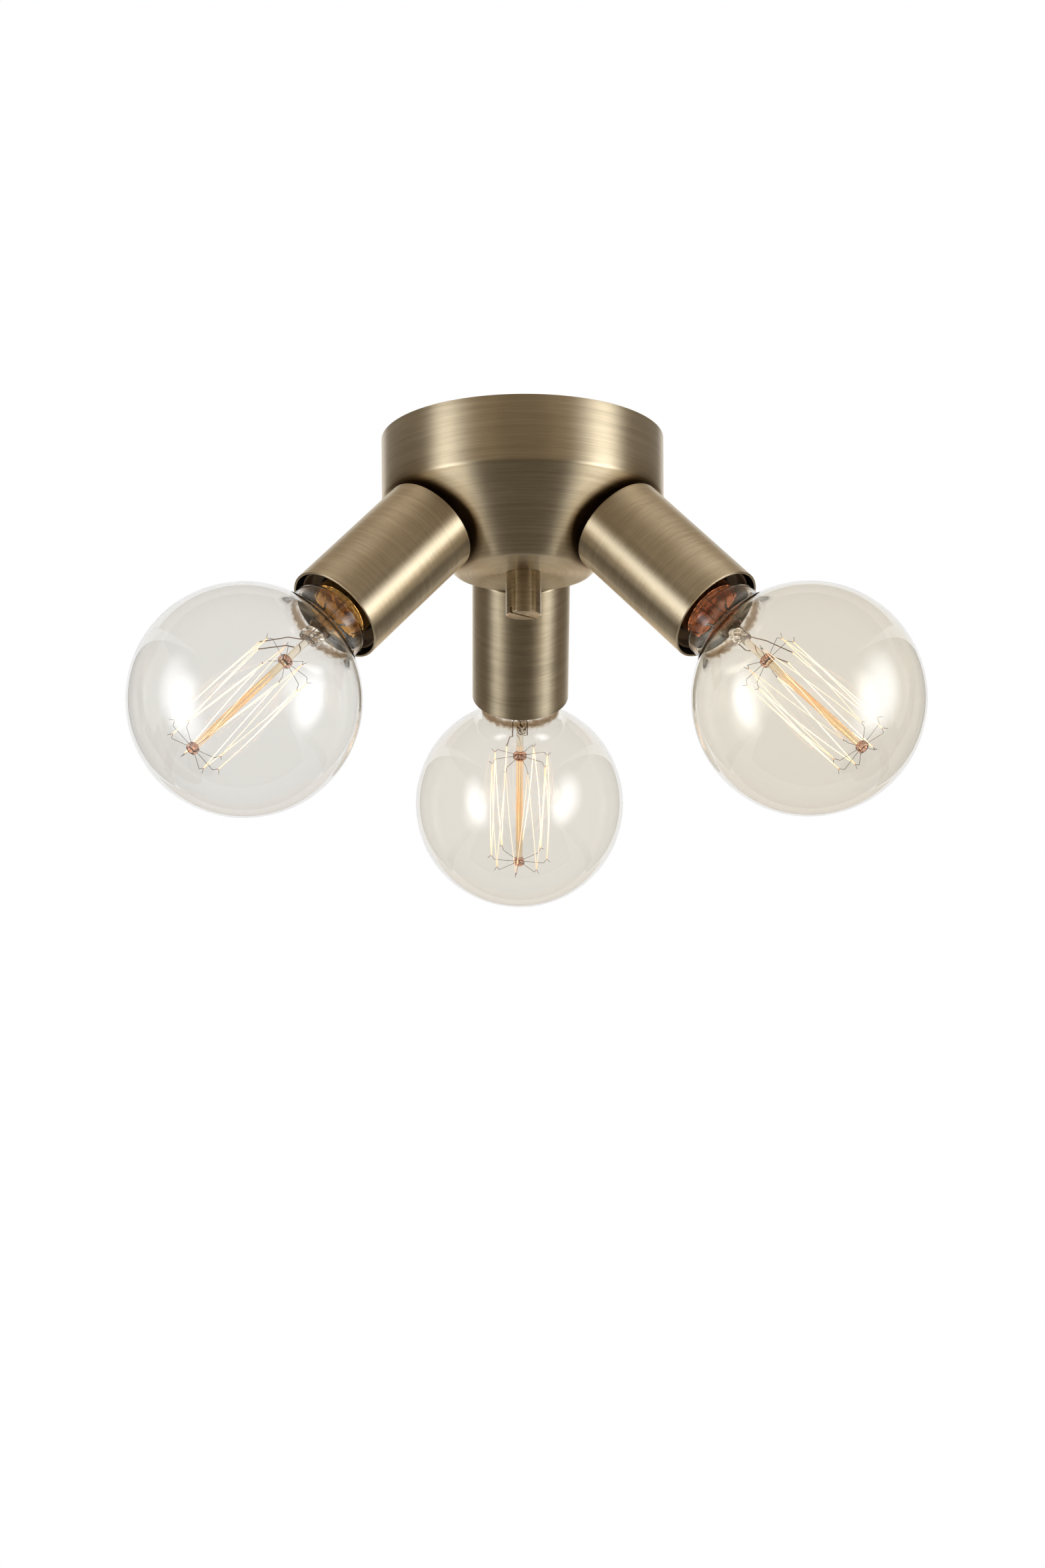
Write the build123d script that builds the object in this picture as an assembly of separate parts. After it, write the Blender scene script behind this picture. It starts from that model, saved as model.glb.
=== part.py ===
from build123d import *
import os
from math import atan2, cos, degrees, hypot, radians, sin, sqrt

# A semi flush ceiling light with three bare globe lamps.
# A spun canopy hides a ceiling bracket. One slotted nut on a centre stud holds the canopy up.
# Three sleeves stand square on the canopy's cone and each hides a lampholder.
# Millimetres. The origin is the middle of the ceiling plane, +Z is up, and the light hangs below it.
# Each lamp has its own axis: s runs along it from the sleeve's closed end towards the lamp.

# ---------------------------------------------------------------- canopy
canopy_radius = 60.5
canopy_draft = 0.3
canopy_side_height = 28.0
canopy_depth = 59.5
disc_radius = 28.5
canopy_wall = 1.2
canopy_edge_round = 2.5
disc_edge_round = 3.5

# ---------------------------------------------------------------- ceiling bracket and stud
bracket_length = 104.0
bracket_width = 20.0
bracket_thickness = 2.0
bracket_drop = 6.5
bracket_middle = 36.0
bracket_step = 6.0
slot_spacing = 76.0
slot_length = 12.0
slot_width = 4.5
flange_y = -14.0
flange_width = 34.0
flange_bottom = -25.0
stud_radius = 3.0
stud_top = -1.0
stud_nut_flats = 10.0
stud_nut_height = 5.0
stud_washer_radius = 6.0
stud_washer_thickness = 1.2
stud_hole_clearance = 0.3
thread_clearance = 0.05

# ---------------------------------------------------------------- slotted fixing nut
fixing_nut_radius = 7.5
fixing_nut_length = 18.5
fixing_nut_chamfer = 0.6
fixing_nut_bore_depth = 13.0
stud_end_clearance = 1.5
driver_slot_width = 1.5
driver_slot_depth = 2.4
driver_slot_azimuth = 43.0

# ---------------------------------------------------------------- terminal block and earth terminal
pole_pitch = 10.0
block_length = 32.0
block_depth = 13.0
block_height = 15.0
block_top = -10.0
barrel_radius = 3.0
barrel_bore = 2.1
barrel_inset = 1.5
clamp_screw_radius = 1.5
clamp_screw_head = 2.5
clamp_screw_head_height = 2.0
clamp_screw_offset = 3.6
conductor_clearance = 0.1
block_screw_radius = 1.4
block_screw_head = 2.2
block_screw_head_height = 1.8
earth_screw_x = 13.0
earth_screw_radius = 2.0
earth_screw_head = 3.8
earth_screw_head_height = 2.6
earth_tag_radius = 4.2
earth_tag_thickness = 0.8
earth_tag_barrel_radius = 1.6
earth_tag_barrel_length = 6.0
earth_tag_barrel_floor = 1.5

# ---------------------------------------------------------------- lamp arms
rear_lamp_angle = 90.0
lamp_spacing_angle = 120.0
spacer_gap = 1.5
spacer_radius = 7.5
nipple_radius = 5.0
nipple_bore = 3.9
nipple_hole_clearance = 0.2
nipple_spare = 1.5
nipple_nut_flats = 14.0
nipple_nut_height = 3.0
saddle_washer_radius = 8.5
saddle_washer_thickness = 1.6
sleeve_radius = 21.5
sleeve_wall = 1.0
sleeve_length = 64.0
sleeve_end_thickness = 1.2
sleeve_end_round = 0.8
sleeve_rim_round = 0.3
sleeve_inner_round = 0.4

# ---------------------------------------------------------------- lampholder
holder_radius = 18.6
dome_wall = 2.2
dome_neck_radius = 8.0
dome_neck_length = 5.0
dome_shoulder = 12.0
dome_shoulder_round = 4.0
dome_crown_radius = 13.4
dome_crown_rise = 0.6
dome_crown_round = 3.0
dome_ledge = 1.4
dome_cavity_crown = 10.5
dome_cavity_crown_round = 1.5
dome_cavity_height = 6.0
dome_cavity_round = 2.5
small_round = 0.5
nipple_engagement = 7.0
insert_seat = 23.5
insert_flange_thickness = 2.5
insert_face = 32.8
insert_radius = 12.6
dome_mouth = 32.0
dome_mouth_bore = 16.3
skirt_lip_radius = 19.4
skirt_lip_wall = 1.0
skirt_recess = 3.0
skirt_recess_depth = 5.5
skirt_recess_round = 1.5
skirt_step = 4.0
skirt_clearance = 0.3
skirt_shelf = 4.0
lamp_thread_bore = 13.5
terminal_post_height = 8.0
terminal_post_width = 5.4
terminal_post_depth = 8.0
terminal_offset = 5.2
terminal_hole_radius = 1.3
terminal_hole_spare = 1.0
insert_edge_round = 0.8
insert_clearance = 0.2
holder_screw_radius = 1.1
holder_screw_head = 2.0
holder_screw_head_height = 1.6
contact_strip_width = 5.0
contact_strip_thickness = 0.6
contact_gap = 0.3
contact_overhang = 1.2
contact_tongue_root = 3.0
contact_tongue_flat = 1.8
contact_tongue_end = 3.4
side_contact_inset = 1.0
side_contact_foot = 3.5

# ---------------------------------------------------------------- leads
lead_radius = 0.9
conductor_radius = 0.5
lead_pair_offset = 1.3
lead_bundle_radius = 1.1
bare_length = 6.0
lead_holder_run = 2.5
lead_nipple_inset = 1.0
lead_nipple_run = 1.5
lead_block_run = 8.0
lead_block_entry = 3.0
# (radius, turn from the lamp's own angle, height) of each lead's bends under the canopy
lead_bends = {
    ("left", "live"): [(32.0, 2.5, -32.0), (26.2, 18.1, -34.5)],
    ("left", "neutral"): [(31.7, -2.1, -32.5), (19.4, 14.0, -38.5), (16.1, 67.1, -40.5)],
    ("right", "neutral"): [(32.0, -2.5, -32.0), (26.2, -18.1, -34.5)],
    ("right", "live"): [(31.7, 2.1, -32.5), (25.6, -29.4, -41.0), (25.1, -64.6, -42.0)],
    ("rear", "live"): [(27.2, 7.4, -29.0), (14.7, 35.3, -28.0), (11.2, 110.9, -30.5)],
    ("rear", "neutral"): [(27.2, -7.4, -29.0), (14.7, -35.3, -28.0), (11.2, -110.9, -30.5)],
}
# (x, y, height) of the earth lead's bends between its tag and the block
earth_bends = [(17.0, 15.4, -19.1), (18.0, 7.4, -30.1), (15.0, -8.0, -44.1), (5.5, -16.0, -46.0)]
earth_tag_run = 9.0
earth_block_run = 12.0

# ---------------------------------------------------------------- lamp
lamp_tip = 34.5
cap_rim = 61.5
cap_radius = 13.1
cap_wall = 0.35
cap_shell_end = 39.6
cap_shoulder_height = 2.2
cap_shoulder_round = 1.0
cap_foot_rise = 0.5
contact_height = 1.9
contact_radius = 4.8
insulator_radius = 9.5
insulator_top = 41.0
insulator_bore = 1.0
insulator_clearance = 0.1
insulator_set_back = 0.2
insulator_round = 0.4
globe_radius = 47.5
neck_waist = 72.36
glass_wall = 0.9
neck_end = 54.0
neck_seat_radius = 12.5
neck_radius = 17.8
neck_shoulder = 66.5
neck_fillet = 8.0
neck_shoulder_draft = 0.3
neck_shoulder_round = 4.0
neck_root_round = 1.0

# ---------------------------------------------------------------- stem and filament cage
stem_flare_radius = 11.2
stem_flare_end = 56.0
stem_tube_radius = 5.2
stem_tube_start = 66.0
stem_wall = 0.9
stem_flare_round = 5.0
press_start = 74.0
press_end = 82.5
press_width = 11.0
press_thickness = 4.5
press_round = 1.35
press_seat_depth = 0.6
press_seat_height = 1.2
exhaust_tube_radius = 1.8
exhaust_tube_end = 45.0
rod_radius = 1.6
upper_hub = 95.6
upper_hub_radius = 3.1
lower_hub = 153.2
lower_hub_radius = 2.6
hub_half_height = 1.6
hub_round = 1.1
lower_hook_count = 8
cage_radius = 13.0
hook_knee_radius = 11.6
hook_tip_radius = 14.6
hook_vee_depth = 2.3
hook_tip_rise = 1.6
hook_wire_radius = 0.16
filament_radius = 0.14
filament_clearance = 0.05
lead_in_radius = 0.25
lead_in_spread = 2.6
lead_in_press_offset = 3.4
lead_in_press_depth = 1.0
lead_in_press_rise = 1.5
lead_in_knee = 5.0
lead_in_tube_gap = 0.9
lead_in_foot = 9.0
lead_in_foot_bend = 3.0
lead_in_tip_rise = 1.5
lamp_turn_angles = {"left": 118.0, "right": 28.0, "rear": 75.0}

# ================================================================ worked-out sizes
lamp_angles = {
    "left": rear_lamp_angle + lamp_spacing_angle,
    "right": rear_lamp_angle - lamp_spacing_angle,
    "rear": rear_lamp_angle,
}
cone_top_radius = canopy_radius - canopy_draft
cone_mid_radius = (cone_top_radius + disc_radius) / 2
cone_mid_z = -(canopy_side_height + canopy_depth) / 2
lamp_tilt = degrees(atan2(cone_top_radius - disc_radius, canopy_depth - canopy_side_height))
nipple_hole_radius = nipple_radius + nipple_hole_clearance
bracket_face = -bracket_drop - bracket_thickness
earth_tag_barrel_start = earth_screw_head + 0.1
canopy_inner_face = -(spacer_gap + canopy_wall)
saddle_face = canopy_inner_face - saddle_washer_thickness
nipple_start = saddle_face - nipple_nut_height - nipple_spare
nipple_end = sleeve_end_thickness + nipple_engagement
pole_y = flange_y - bracket_thickness - block_depth / 2
block_bottom = block_top - block_height
throat_radius = neck_radius + neck_fillet
globe_centre = neck_waist + sqrt((globe_radius + neck_fillet) ** 2 - throat_radius**2)
pole_offsets = {"live": -pole_pitch, "earth": 0.0, "neutral": pole_pitch}


# ================================================================ helpers
def turned(*corners):
    """Solid of revolution about Z from (radius, height, corner round) corners."""
    outline = FilletPolyline(
        *[(radius, 0, height) for radius, height, _ in corners],
        radius=[corner_round for _, _, corner_round in corners],
        close=True,
    )
    return revolve(make_face(outline), Axis.Z)


def ring(outer, inner, low, high):
    """Tube along Z between two heights."""
    return Pos(0, 0, (low + high) / 2) * (Cylinder(outer, high - low) - Cylinder(inner, high - low))


def rod(radius, low, high):
    """Round bar along Z between two heights."""
    return Pos(0, 0, (low + high) / 2) * Cylinder(radius, high - low)


def hex_nut(flats, bore, low, high):
    """Hexagon nut along Z between two heights."""
    blank = extrude(RegularPolygon(flats / 2, 6, major_radius=False), high - low)
    return Pos(0, 0, low) * blank - rod(bore, low - 1, high + 1)


def slotted_screw(radius, head_radius, head_height, shank_length):
    """Cheese-head screw: the head's underside is at 0, its shank runs up +Z."""
    slot = Pos(0, 0, -head_height) * Box(2 * head_radius, head_radius * 0.35, head_height * 0.8)
    head = rod(head_radius, -head_height, 0) - slot
    return head + rod(radius, 0, shank_length)


def bar_between(radius, start, end):
    """Straight round bar from one point to another."""
    axis = Vector(*end) - Vector(*start)
    return extrude(Plane(origin=start, z_dir=axis) * Circle(radius), axis.length)


def corner_radii(points):
    """Largest even bend at each inner corner: 0.45 of the shorter run over tan of half the turn."""
    radii = []
    for before, corner, after in zip(points, points[1:], points[2:]):
        run_in = Vector(*corner) - Vector(*before)
        run_out = Vector(*after) - Vector(*corner)
        half_turn = radians(run_in.get_angle(run_out) / 2)
        radii.append(0.45 * min(run_in.length, run_out.length) * cos(half_turn) / sin(half_turn))
    return radii


def bent_wire(points, radius):
    """Round wire along straight runs joined by tangent arcs."""
    path = FilletPolyline(*points, radius=corner_radii(points))
    start_direction = Vector(*points[1]) - Vector(*points[0])
    return sweep(Plane(origin=points[0], z_dir=start_direction) * Circle(radius), path=path)


def mitred_wire(points, radius, sides):
    """Thin wire with a many-sided section, mitred at each bend."""
    plane = Plane(origin=points[0], z_dir=Vector(*points[1]) - Vector(*points[0]))
    section = plane * RegularPolygon(radius, sides)
    return sweep(section, path=Polyline(*points), transition=Transition.RIGHT)


def lamp_place(angle):
    """Location of a lamp's axis: origin on the sleeve's closed end, local Z along the axis."""
    out = Vector(cos(radians(angle)), sin(radians(angle)), 0)
    axis = out * cos(radians(lamp_tilt)) - Vector(0, 0, 1) * sin(radians(lamp_tilt))
    origin = out * cone_mid_radius + Vector(0, 0, cone_mid_z) + axis * spacer_gap
    side = Vector(-out.Y, out.X, 0)
    return Plane(origin=origin, x_dir=side, z_dir=axis).location


places = {side: lamp_place(angle) for side, angle in lamp_angles.items()}


def on_each_lamp(piece):
    """The same piece on all three lamp axes, as one group of separate solids."""
    return Compound(children=[place * piece for place in places.values()])


# ================================================================ canopy
def canopy_blank():
    """The canopy's outer form, filled."""
    return turned(
        (0, 0, 0),
        (canopy_radius, 0, 0),
        (cone_top_radius, -canopy_side_height, canopy_edge_round),
        (disc_radius, -canopy_depth, disc_edge_round),
        (0, -canopy_depth, 0),
    )


def canopy_hollow(blank):
    """The space inside the canopy's wall, open at the ceiling."""
    shell = offset(blank, amount=-canopy_wall, openings=blank.faces().sort_by(Axis.Z)[-1])
    return blank - shell


def make_canopy(blank, hollow):
    canopy = blank - hollow
    canopy -= rod(stud_radius + stud_hole_clearance, -canopy_depth - 1, -canopy_depth / 2)
    for place in places.values():
        canopy -= place * rod(nipple_hole_radius, -4 * canopy_wall, spacer_gap)
    return canopy


# ================================================================ ceiling bracket
def make_bracket():
    half_length = bracket_length / 2
    half_middle = bracket_middle / 2
    step_end = half_middle + bracket_step
    side_view = Polyline(
        (-half_length, 0, 0),
        (-step_end, 0, 0),
        (-half_middle, 0, -bracket_drop),
        (half_middle, 0, -bracket_drop),
        (step_end, 0, 0),
        (half_length, 0, 0),
        (half_length, 0, -bracket_thickness),
        (step_end + 1, 0, -bracket_thickness),
        (half_middle + 1, 0, bracket_face),
        (-half_middle - 1, 0, bracket_face),
        (-step_end - 1, 0, -bracket_thickness),
        (-half_length, 0, -bracket_thickness),
        close=True,
    )
    bracket = extrude(make_face(side_view), bracket_width / 2, both=True)
    ends = bracket.edges().filter_by(Axis.Z).group_by(Axis.X)
    bracket = fillet(ends[0] + ends[-1], bracket_width / 4)
    flange_back = flange_y - bracket_thickness
    tab_depth = -bracket_width / 2 - flange_back
    tab = Pos(0, flange_back + tab_depth / 2, -bracket_drop - bracket_thickness / 2) * Box(
        flange_width, tab_depth, bracket_thickness
    )
    flange_height = -bracket_drop - flange_bottom
    flange = Pos(0, flange_y - bracket_thickness / 2, -bracket_drop - flange_height / 2) * Box(
        flange_width, bracket_thickness, flange_height
    )
    bend = (tab + flange).edges().filter_by(Axis.X).sort_by(lambda e: e.center().Z - e.center().Y)[-1]
    bracket += fillet(bend, bracket_thickness * 0.9)
    for side in (-1, 1):
        slot = extrude(SlotOverall(slot_length, slot_width), bracket_thickness, both=True)
        bracket -= Pos(side * slot_spacing / 2, 0, -bracket_thickness / 2) * slot
        bracket -= block_screw_place(side) * rod(block_screw_radius, -1, block_depth + 4)
    bracket -= rod(stud_radius + thread_clearance, bracket_face - 1, 1)
    bracket -= Pos(earth_screw_x, 0, 0) * rod(earth_screw_radius, bracket_face - 1, 1)
    return bracket


def make_stud_nuts():
    upper = hex_nut(stud_nut_flats, stud_radius, -bracket_drop, -bracket_drop + stud_nut_height)
    lower_top = bracket_face - stud_washer_thickness
    lower = hex_nut(stud_nut_flats, stud_radius, lower_top - stud_nut_height, lower_top)
    return Compound(children=[upper, lower])


def make_fixing_nut():
    """Turned cap nut with a blind thread and a driver slot across its end."""
    bottom = -canopy_depth - fixing_nut_length
    blank = rod(fixing_nut_radius, bottom, -canopy_depth)
    blank = chamfer(blank.edges().group_by(Axis.Z)[0], fixing_nut_chamfer)
    blank -= rod(
        stud_radius + thread_clearance, -canopy_depth - fixing_nut_bore_depth, -canopy_depth + 1
    )
    slot = Box(3 * fixing_nut_radius, driver_slot_width, 2 * driver_slot_depth)
    return blank - Pos(0, 0, bottom) * Rot(0, 0, driver_slot_azimuth) * slot


# ================================================================ terminal block
def block_screw_place(side):
    """Front of the block between two poles; local +Z points back into the flange."""
    front = flange_y - bracket_thickness - block_depth
    z = block_top - block_height / 2
    return Plane(origin=(side * pole_pitch / 2, front, z), z_dir=(0, 1, 0)).location


def clamp_screw_places():
    """Two screws a pole, on the block's front face."""
    front = flange_y - bracket_thickness - block_depth
    middle = block_top - block_height / 2
    return [
        Plane(origin=(x, front + clamp_screw_head_height, middle + rise), z_dir=(0, 1, 0)).location
        for x in pole_offsets.values()
        for rise in (-clamp_screw_offset, clamp_screw_offset)
    ]


def make_terminal_block():
    middle = block_top - block_height / 2
    body = Pos(0, pole_y, middle) * Box(block_length, block_depth, block_height)
    body = fillet(body.edges().filter_by(Axis.Z), 1.0)
    for x in pole_offsets.values():
        body -= Pos(x, pole_y, 0) * rod(barrel_radius, block_bottom - 1, block_top + 1)
    for place in clamp_screw_places():
        body -= place * rod(clamp_screw_head + 0.2, -clamp_screw_head_height, block_depth / 2)
    for side in (-1, 1):
        place = block_screw_place(side)
        body -= place * rod(block_screw_radius, -1, block_depth + 1)
        body -= place * rod(block_screw_head, -1, block_screw_head_height)
    return body


def clamp_screw_length():
    """From the head's underside to just short of the conductors."""
    to_axis = block_depth / 2 - clamp_screw_head_height
    return to_axis - lead_bundle_radius - conductor_radius - conductor_clearance


def make_terminal_barrels():
    barrel = ring(barrel_radius, barrel_bore, block_bottom + barrel_inset, block_top - barrel_inset)
    barrels = []
    for x in pole_offsets.values():
        piece = Pos(x, pole_y, 0) * barrel
        for place in clamp_screw_places():
            piece -= place * rod(clamp_screw_radius, 0, block_depth / 2 - clamp_screw_head_height)
        barrels.append(piece)
    return Compound(children=barrels)


def make_clamp_screws():
    screw = slotted_screw(
        clamp_screw_radius, clamp_screw_head, clamp_screw_head_height, clamp_screw_length()
    )
    return Compound(children=[place * screw for place in clamp_screw_places()])


def make_block_screws():
    screw = slotted_screw(
        block_screw_radius, block_screw_head, block_screw_head_height, block_depth - 1
    )
    seat = Pos(0, 0, block_screw_head_height)
    return Compound(children=[block_screw_place(side) * seat * screw for side in (-1, 1)])


# ================================================================ earth terminal
def make_earth_tag():
    """Crimped ring tag under the earth screw, its barrel towards +Y."""
    low = bracket_face - earth_tag_thickness
    plate = ring(earth_tag_radius, earth_screw_radius, low, bracket_face)
    barrel_z = bracket_face - earth_tag_barrel_radius
    start = earth_tag_barrel_start
    end = start + earth_tag_barrel_length
    barrel = bar_between(earth_tag_barrel_radius, (0, start, barrel_z), (0, end, barrel_z))
    floor = start + earth_tag_barrel_floor
    bore = bar_between(lead_radius, (0, floor, barrel_z), (0, end + 1, barrel_z))
    return Pos(earth_screw_x, 0, 0) * (plate + barrel - bore)


def make_earth_screw():
    under_head = bracket_face - earth_tag_thickness
    screw = slotted_screw(
        earth_screw_radius,
        earth_screw_head,
        earth_screw_head_height,
        bracket_thickness + earth_tag_thickness + 1,
    )
    return Pos(earth_screw_x, 0, under_head) * screw


def make_earth_lead():
    barrel_z = bracket_face - earth_tag_barrel_radius
    start_y = earth_tag_barrel_start + earth_tag_barrel_floor
    route = [(earth_screw_x, start_y, barrel_z), (earth_screw_x, start_y + earth_tag_run, barrel_z)]
    route += earth_bends
    route += [(0, pole_y, block_bottom - earth_block_run), (0, pole_y, block_bottom + barrel_inset)]
    lead = bent_wire(route, lead_radius)
    return lead + bar_between(conductor_radius, route[-1], (0, pole_y, block_bottom + bare_length))


# ================================================================ lamp leads
def lead_route(side, pole):
    """From the holder's terminal through the nipple to the block, in the light's own frame."""
    sign = 1 if pole == "live" else -1
    terminal_s = insert_seat - terminal_post_height
    local = [
        (sign * terminal_offset, 0, terminal_s),
        (sign * terminal_offset, 0, terminal_s - lead_holder_run),
        (sign * lead_pair_offset, 0, nipple_end - lead_nipple_inset),
        (sign * lead_pair_offset, 0, nipple_start - lead_nipple_run),
    ]
    route = [tuple((places[side] * Pos(*point)).position) for point in local]
    for radius, turn, z in lead_bends[(side, pole)]:
        angle = radians(lamp_angles[side] + turn)
        route.append((radius * cos(angle), radius * sin(angle), z))
    angle = radians(lamp_angles[side])
    x = pole_offsets[pole] + lead_bundle_radius * cos(angle)
    y = pole_y + lead_bundle_radius * sin(angle)
    for depth in (lead_block_run, lead_block_entry, -barrel_inset):
        route.append((x, y, block_bottom - depth))
    return route


def straightened(route):
    """The route without points that lie in line with their neighbours."""
    kept = [route[0]]
    for point, after in zip(route[1:], route[2:]):
        run_in = Vector(*point) - Vector(*kept[-1])
        run_out = Vector(*after) - Vector(*point)
        if run_in.get_angle(run_out) > 0.5:
            kept.append(point)
    return kept + [route[-1]]


def make_leads(pole):
    leads = []
    for side, place in places.items():
        sign = 1 if pole == "live" else -1
        route = straightened(lead_route(side, pole))
        x, y, z = route[-1]
        terminal_s = insert_seat - terminal_post_height
        holder_end = place * Pos(sign * terminal_offset, 0, 0) * rod(
            conductor_radius, terminal_s, terminal_s + bare_length
        )
        block_end = bar_between(conductor_radius, (x, y, z), (x, y, z + bare_length))
        leads.append(bent_wire(route, lead_radius) + holder_end + block_end)
        radii = corner_radii(route)
        print(f"{side} {pole} lead: tightest bend {min(radii):.1f} mm")
    return Compound(children=leads)


# ================================================================ arm pieces on a lamp's axis
def make_saddle_spacer(blank):
    """Spacer between cone and sleeve, its inner face cut to the cone."""
    disc = ring(spacer_radius, nipple_hole_radius, -2 * canopy_wall, 0)
    return disc - places["rear"].inverse() * blank


def make_saddle_washer(hollow):
    """Washer inside the canopy, its outer face cut to the cone."""
    disc = ring(saddle_washer_radius, nipple_hole_radius, saddle_face, 0)
    return disc & (places["rear"].inverse() * hollow)


def make_sleeve():
    inner = sleeve_radius - sleeve_wall
    cup = turned(
        (nipple_hole_radius, 0, 0),
        (sleeve_radius, 0, sleeve_end_round),
        (sleeve_radius, sleeve_length, sleeve_rim_round),
        (inner, sleeve_length, sleeve_rim_round),
        (inner, sleeve_end_thickness, sleeve_inner_round),
        (nipple_hole_radius, sleeve_end_thickness, 0),
    )
    return cup


def make_holder_dome():
    """Back cover: threaded neck on the nipple, rounded shoulder, and a ledge that takes the insert."""
    bore = nipple_radius + thread_clearance
    inner = holder_radius - dome_wall - dome_ledge
    neck_top = sleeve_end_thickness + dome_neck_length
    cavity = neck_top + dome_wall
    return turned(
        (bore, sleeve_end_thickness, 0),
        (dome_neck_radius, sleeve_end_thickness, small_round),
        (dome_neck_radius, neck_top, 2 * small_round),
        (dome_crown_radius, neck_top + dome_crown_rise, dome_crown_round),
        (holder_radius, sleeve_end_thickness + dome_shoulder, dome_shoulder_round),
        (holder_radius, dome_mouth, small_round),
        (dome_mouth_bore, dome_mouth, 0),
        (dome_mouth_bore, insert_seat, 0),
        (inner, insert_seat, 0),
        (inner, cavity + dome_cavity_height, dome_cavity_round),
        (dome_cavity_crown, cavity, dome_cavity_crown_round),
        (bore, cavity, 0),
    )


def terminal_screw_places():
    """Screws across the two terminal posts, heads on the -Y side."""
    s = insert_seat - terminal_post_height / 2
    return [
        Plane(origin=(x, -terminal_post_depth / 2, s), z_dir=(0, 1, 0)).location
        for x in (-terminal_offset, terminal_offset)
    ]


def make_holder_insert():
    """Moulded core: flange, nose towards the lamp, and two terminal posts at the back."""
    flange_top = insert_seat + insert_flange_thickness
    core = turned(
        (0, insert_seat, 0),
        (dome_mouth_bore - insert_clearance, insert_seat, 0),
        (dome_mouth_bore - insert_clearance, flange_top, 0),
        (insert_radius, flange_top, 0),
        (insert_radius, insert_face, insert_edge_round),
        (0, insert_face, 0),
    )
    post_low = insert_seat - terminal_post_height
    for x in (-terminal_offset, terminal_offset):
        post = Pos(x, 0, post_low + terminal_post_height / 2) * Box(
            terminal_post_width, terminal_post_depth, terminal_post_height
        )
        hole_end = post_low + bare_length + terminal_hole_spare
        hole = Pos(x, 0, 0) * rod(terminal_hole_radius, post_low - 1, hole_end)
        core += post
        core -= hole
    for place in terminal_screw_places():
        core -= place * rod(holder_screw_radius, -1, terminal_post_depth / 2)
    return core


def make_holder_screws():
    reach = terminal_post_depth / 2 - conductor_radius - conductor_clearance
    screw = slotted_screw(holder_screw_radius, holder_screw_head, holder_screw_head_height, reach)
    return [place * screw for place in terminal_screw_places()]


def make_holder_skirt():
    """Front ring: neck inside the dome, bore for the lamp's thread, and a thin lip round a recess."""
    rim = sleeve_length - skirt_recess
    floor = rim - skirt_recess_depth
    lip_inner = skirt_lip_radius - skirt_lip_wall
    flange_top = insert_seat + insert_flange_thickness
    neck = dome_mouth_bore - thread_clearance
    back_bore = insert_radius + skirt_clearance
    return turned(
        (back_bore, flange_top, 0),
        (neck, flange_top, 0),
        (neck, dome_mouth, 0),
        (holder_radius, dome_mouth, small_round),
        (holder_radius, floor - skirt_step, small_round),
        (skirt_lip_radius, floor - skirt_step / 2, small_round),
        (skirt_lip_radius, rim, sleeve_rim_round),
        (lip_inner, rim, sleeve_rim_round),
        (lip_inner, floor, skirt_recess_round),
        (lamp_thread_bore, floor, 2 * small_round),
        (lamp_thread_bore, insert_face + skirt_shelf, 0),
        (back_bore, insert_face + skirt_shelf / 2, 0),
    )


def make_centre_contact():
    """Sprung tongue riveted to the insert's face, its free end under the lamp's tip."""
    top = lamp_tip - contact_gap
    half = contact_radius + contact_overhang
    under = top - contact_strip_thickness
    tongue = Polyline(
        (-half, 0, insert_face),
        (contact_tongue_root - half, 0, insert_face),
        (contact_strip_thickness / 4 - contact_tongue_flat, 0, under),
        (contact_tongue_flat, 0, under),
        (contact_tongue_end, 0, under - contact_strip_thickness),
        (contact_tongue_end, 0, under),
        (contact_tongue_flat, 0, top),
        (-contact_tongue_flat, 0, top),
        (contact_tongue_root - contact_strip_thickness / 4 - half, 0, insert_face + contact_strip_thickness),
        (-half, 0, insert_face + contact_strip_thickness),
        close=True,
    )
    return extrude(make_face(tongue), contact_strip_width / 2, both=True)


def make_side_contact():
    """Upright strip on the insert's edge that meets the bottom of the lamp's cap."""
    top = cap_shell_end - contact_gap
    outer = insert_radius - side_contact_inset
    strip = Polyline(
        (outer - side_contact_foot, 0, insert_face),
        (outer, 0, insert_face),
        (outer, 0, top),
        (outer - contact_strip_thickness, 0, top),
        (outer - contact_strip_thickness, 0, insert_face + contact_strip_thickness),
        (outer - side_contact_foot, 0, insert_face + contact_strip_thickness),
        close=True,
    )
    return extrude(make_face(strip), contact_strip_width / 2, both=True)


# ================================================================ lamp
def envelope_blank():
    """The glass envelope's outer form, filled: seat in the cap, shoulder, throat and globe."""
    share = globe_radius / (globe_radius + neck_fillet)
    join = (throat_radius * share, globe_centre + (neck_waist - globe_centre) * share)
    chord_r = (neck_radius + join[0]) / 2 - throat_radius
    chord_s = (neck_waist + join[1]) / 2 - neck_waist
    reach = neck_fillet / hypot(chord_r, chord_s)
    middle = (throat_radius + chord_r * reach, neck_waist + chord_s * reach)
    neck = FilletPolyline(
        (0, 0, neck_end),
        (neck_seat_radius, 0, neck_end),
        (neck_seat_radius, 0, cap_rim),
        (neck_radius - neck_shoulder_draft, 0, neck_shoulder),
        (neck_radius, 0, neck_waist),
        radius=[0, neck_root_round, neck_shoulder_round],
    )
    throat = ThreePointArc(
        (neck_radius, 0, neck_waist), (middle[0], 0, middle[1]), (join[0], 0, join[1])
    )
    globe = ThreePointArc(
        (join[0], 0, join[1]),
        (globe_radius, 0, globe_centre),
        (0, 0, globe_centre + globe_radius),
    )
    axis_line = Line((0, 0, globe_centre + globe_radius), (0, 0, neck_end))
    return revolve(make_face(neck + throat + globe + axis_line), Axis.Z)


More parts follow.
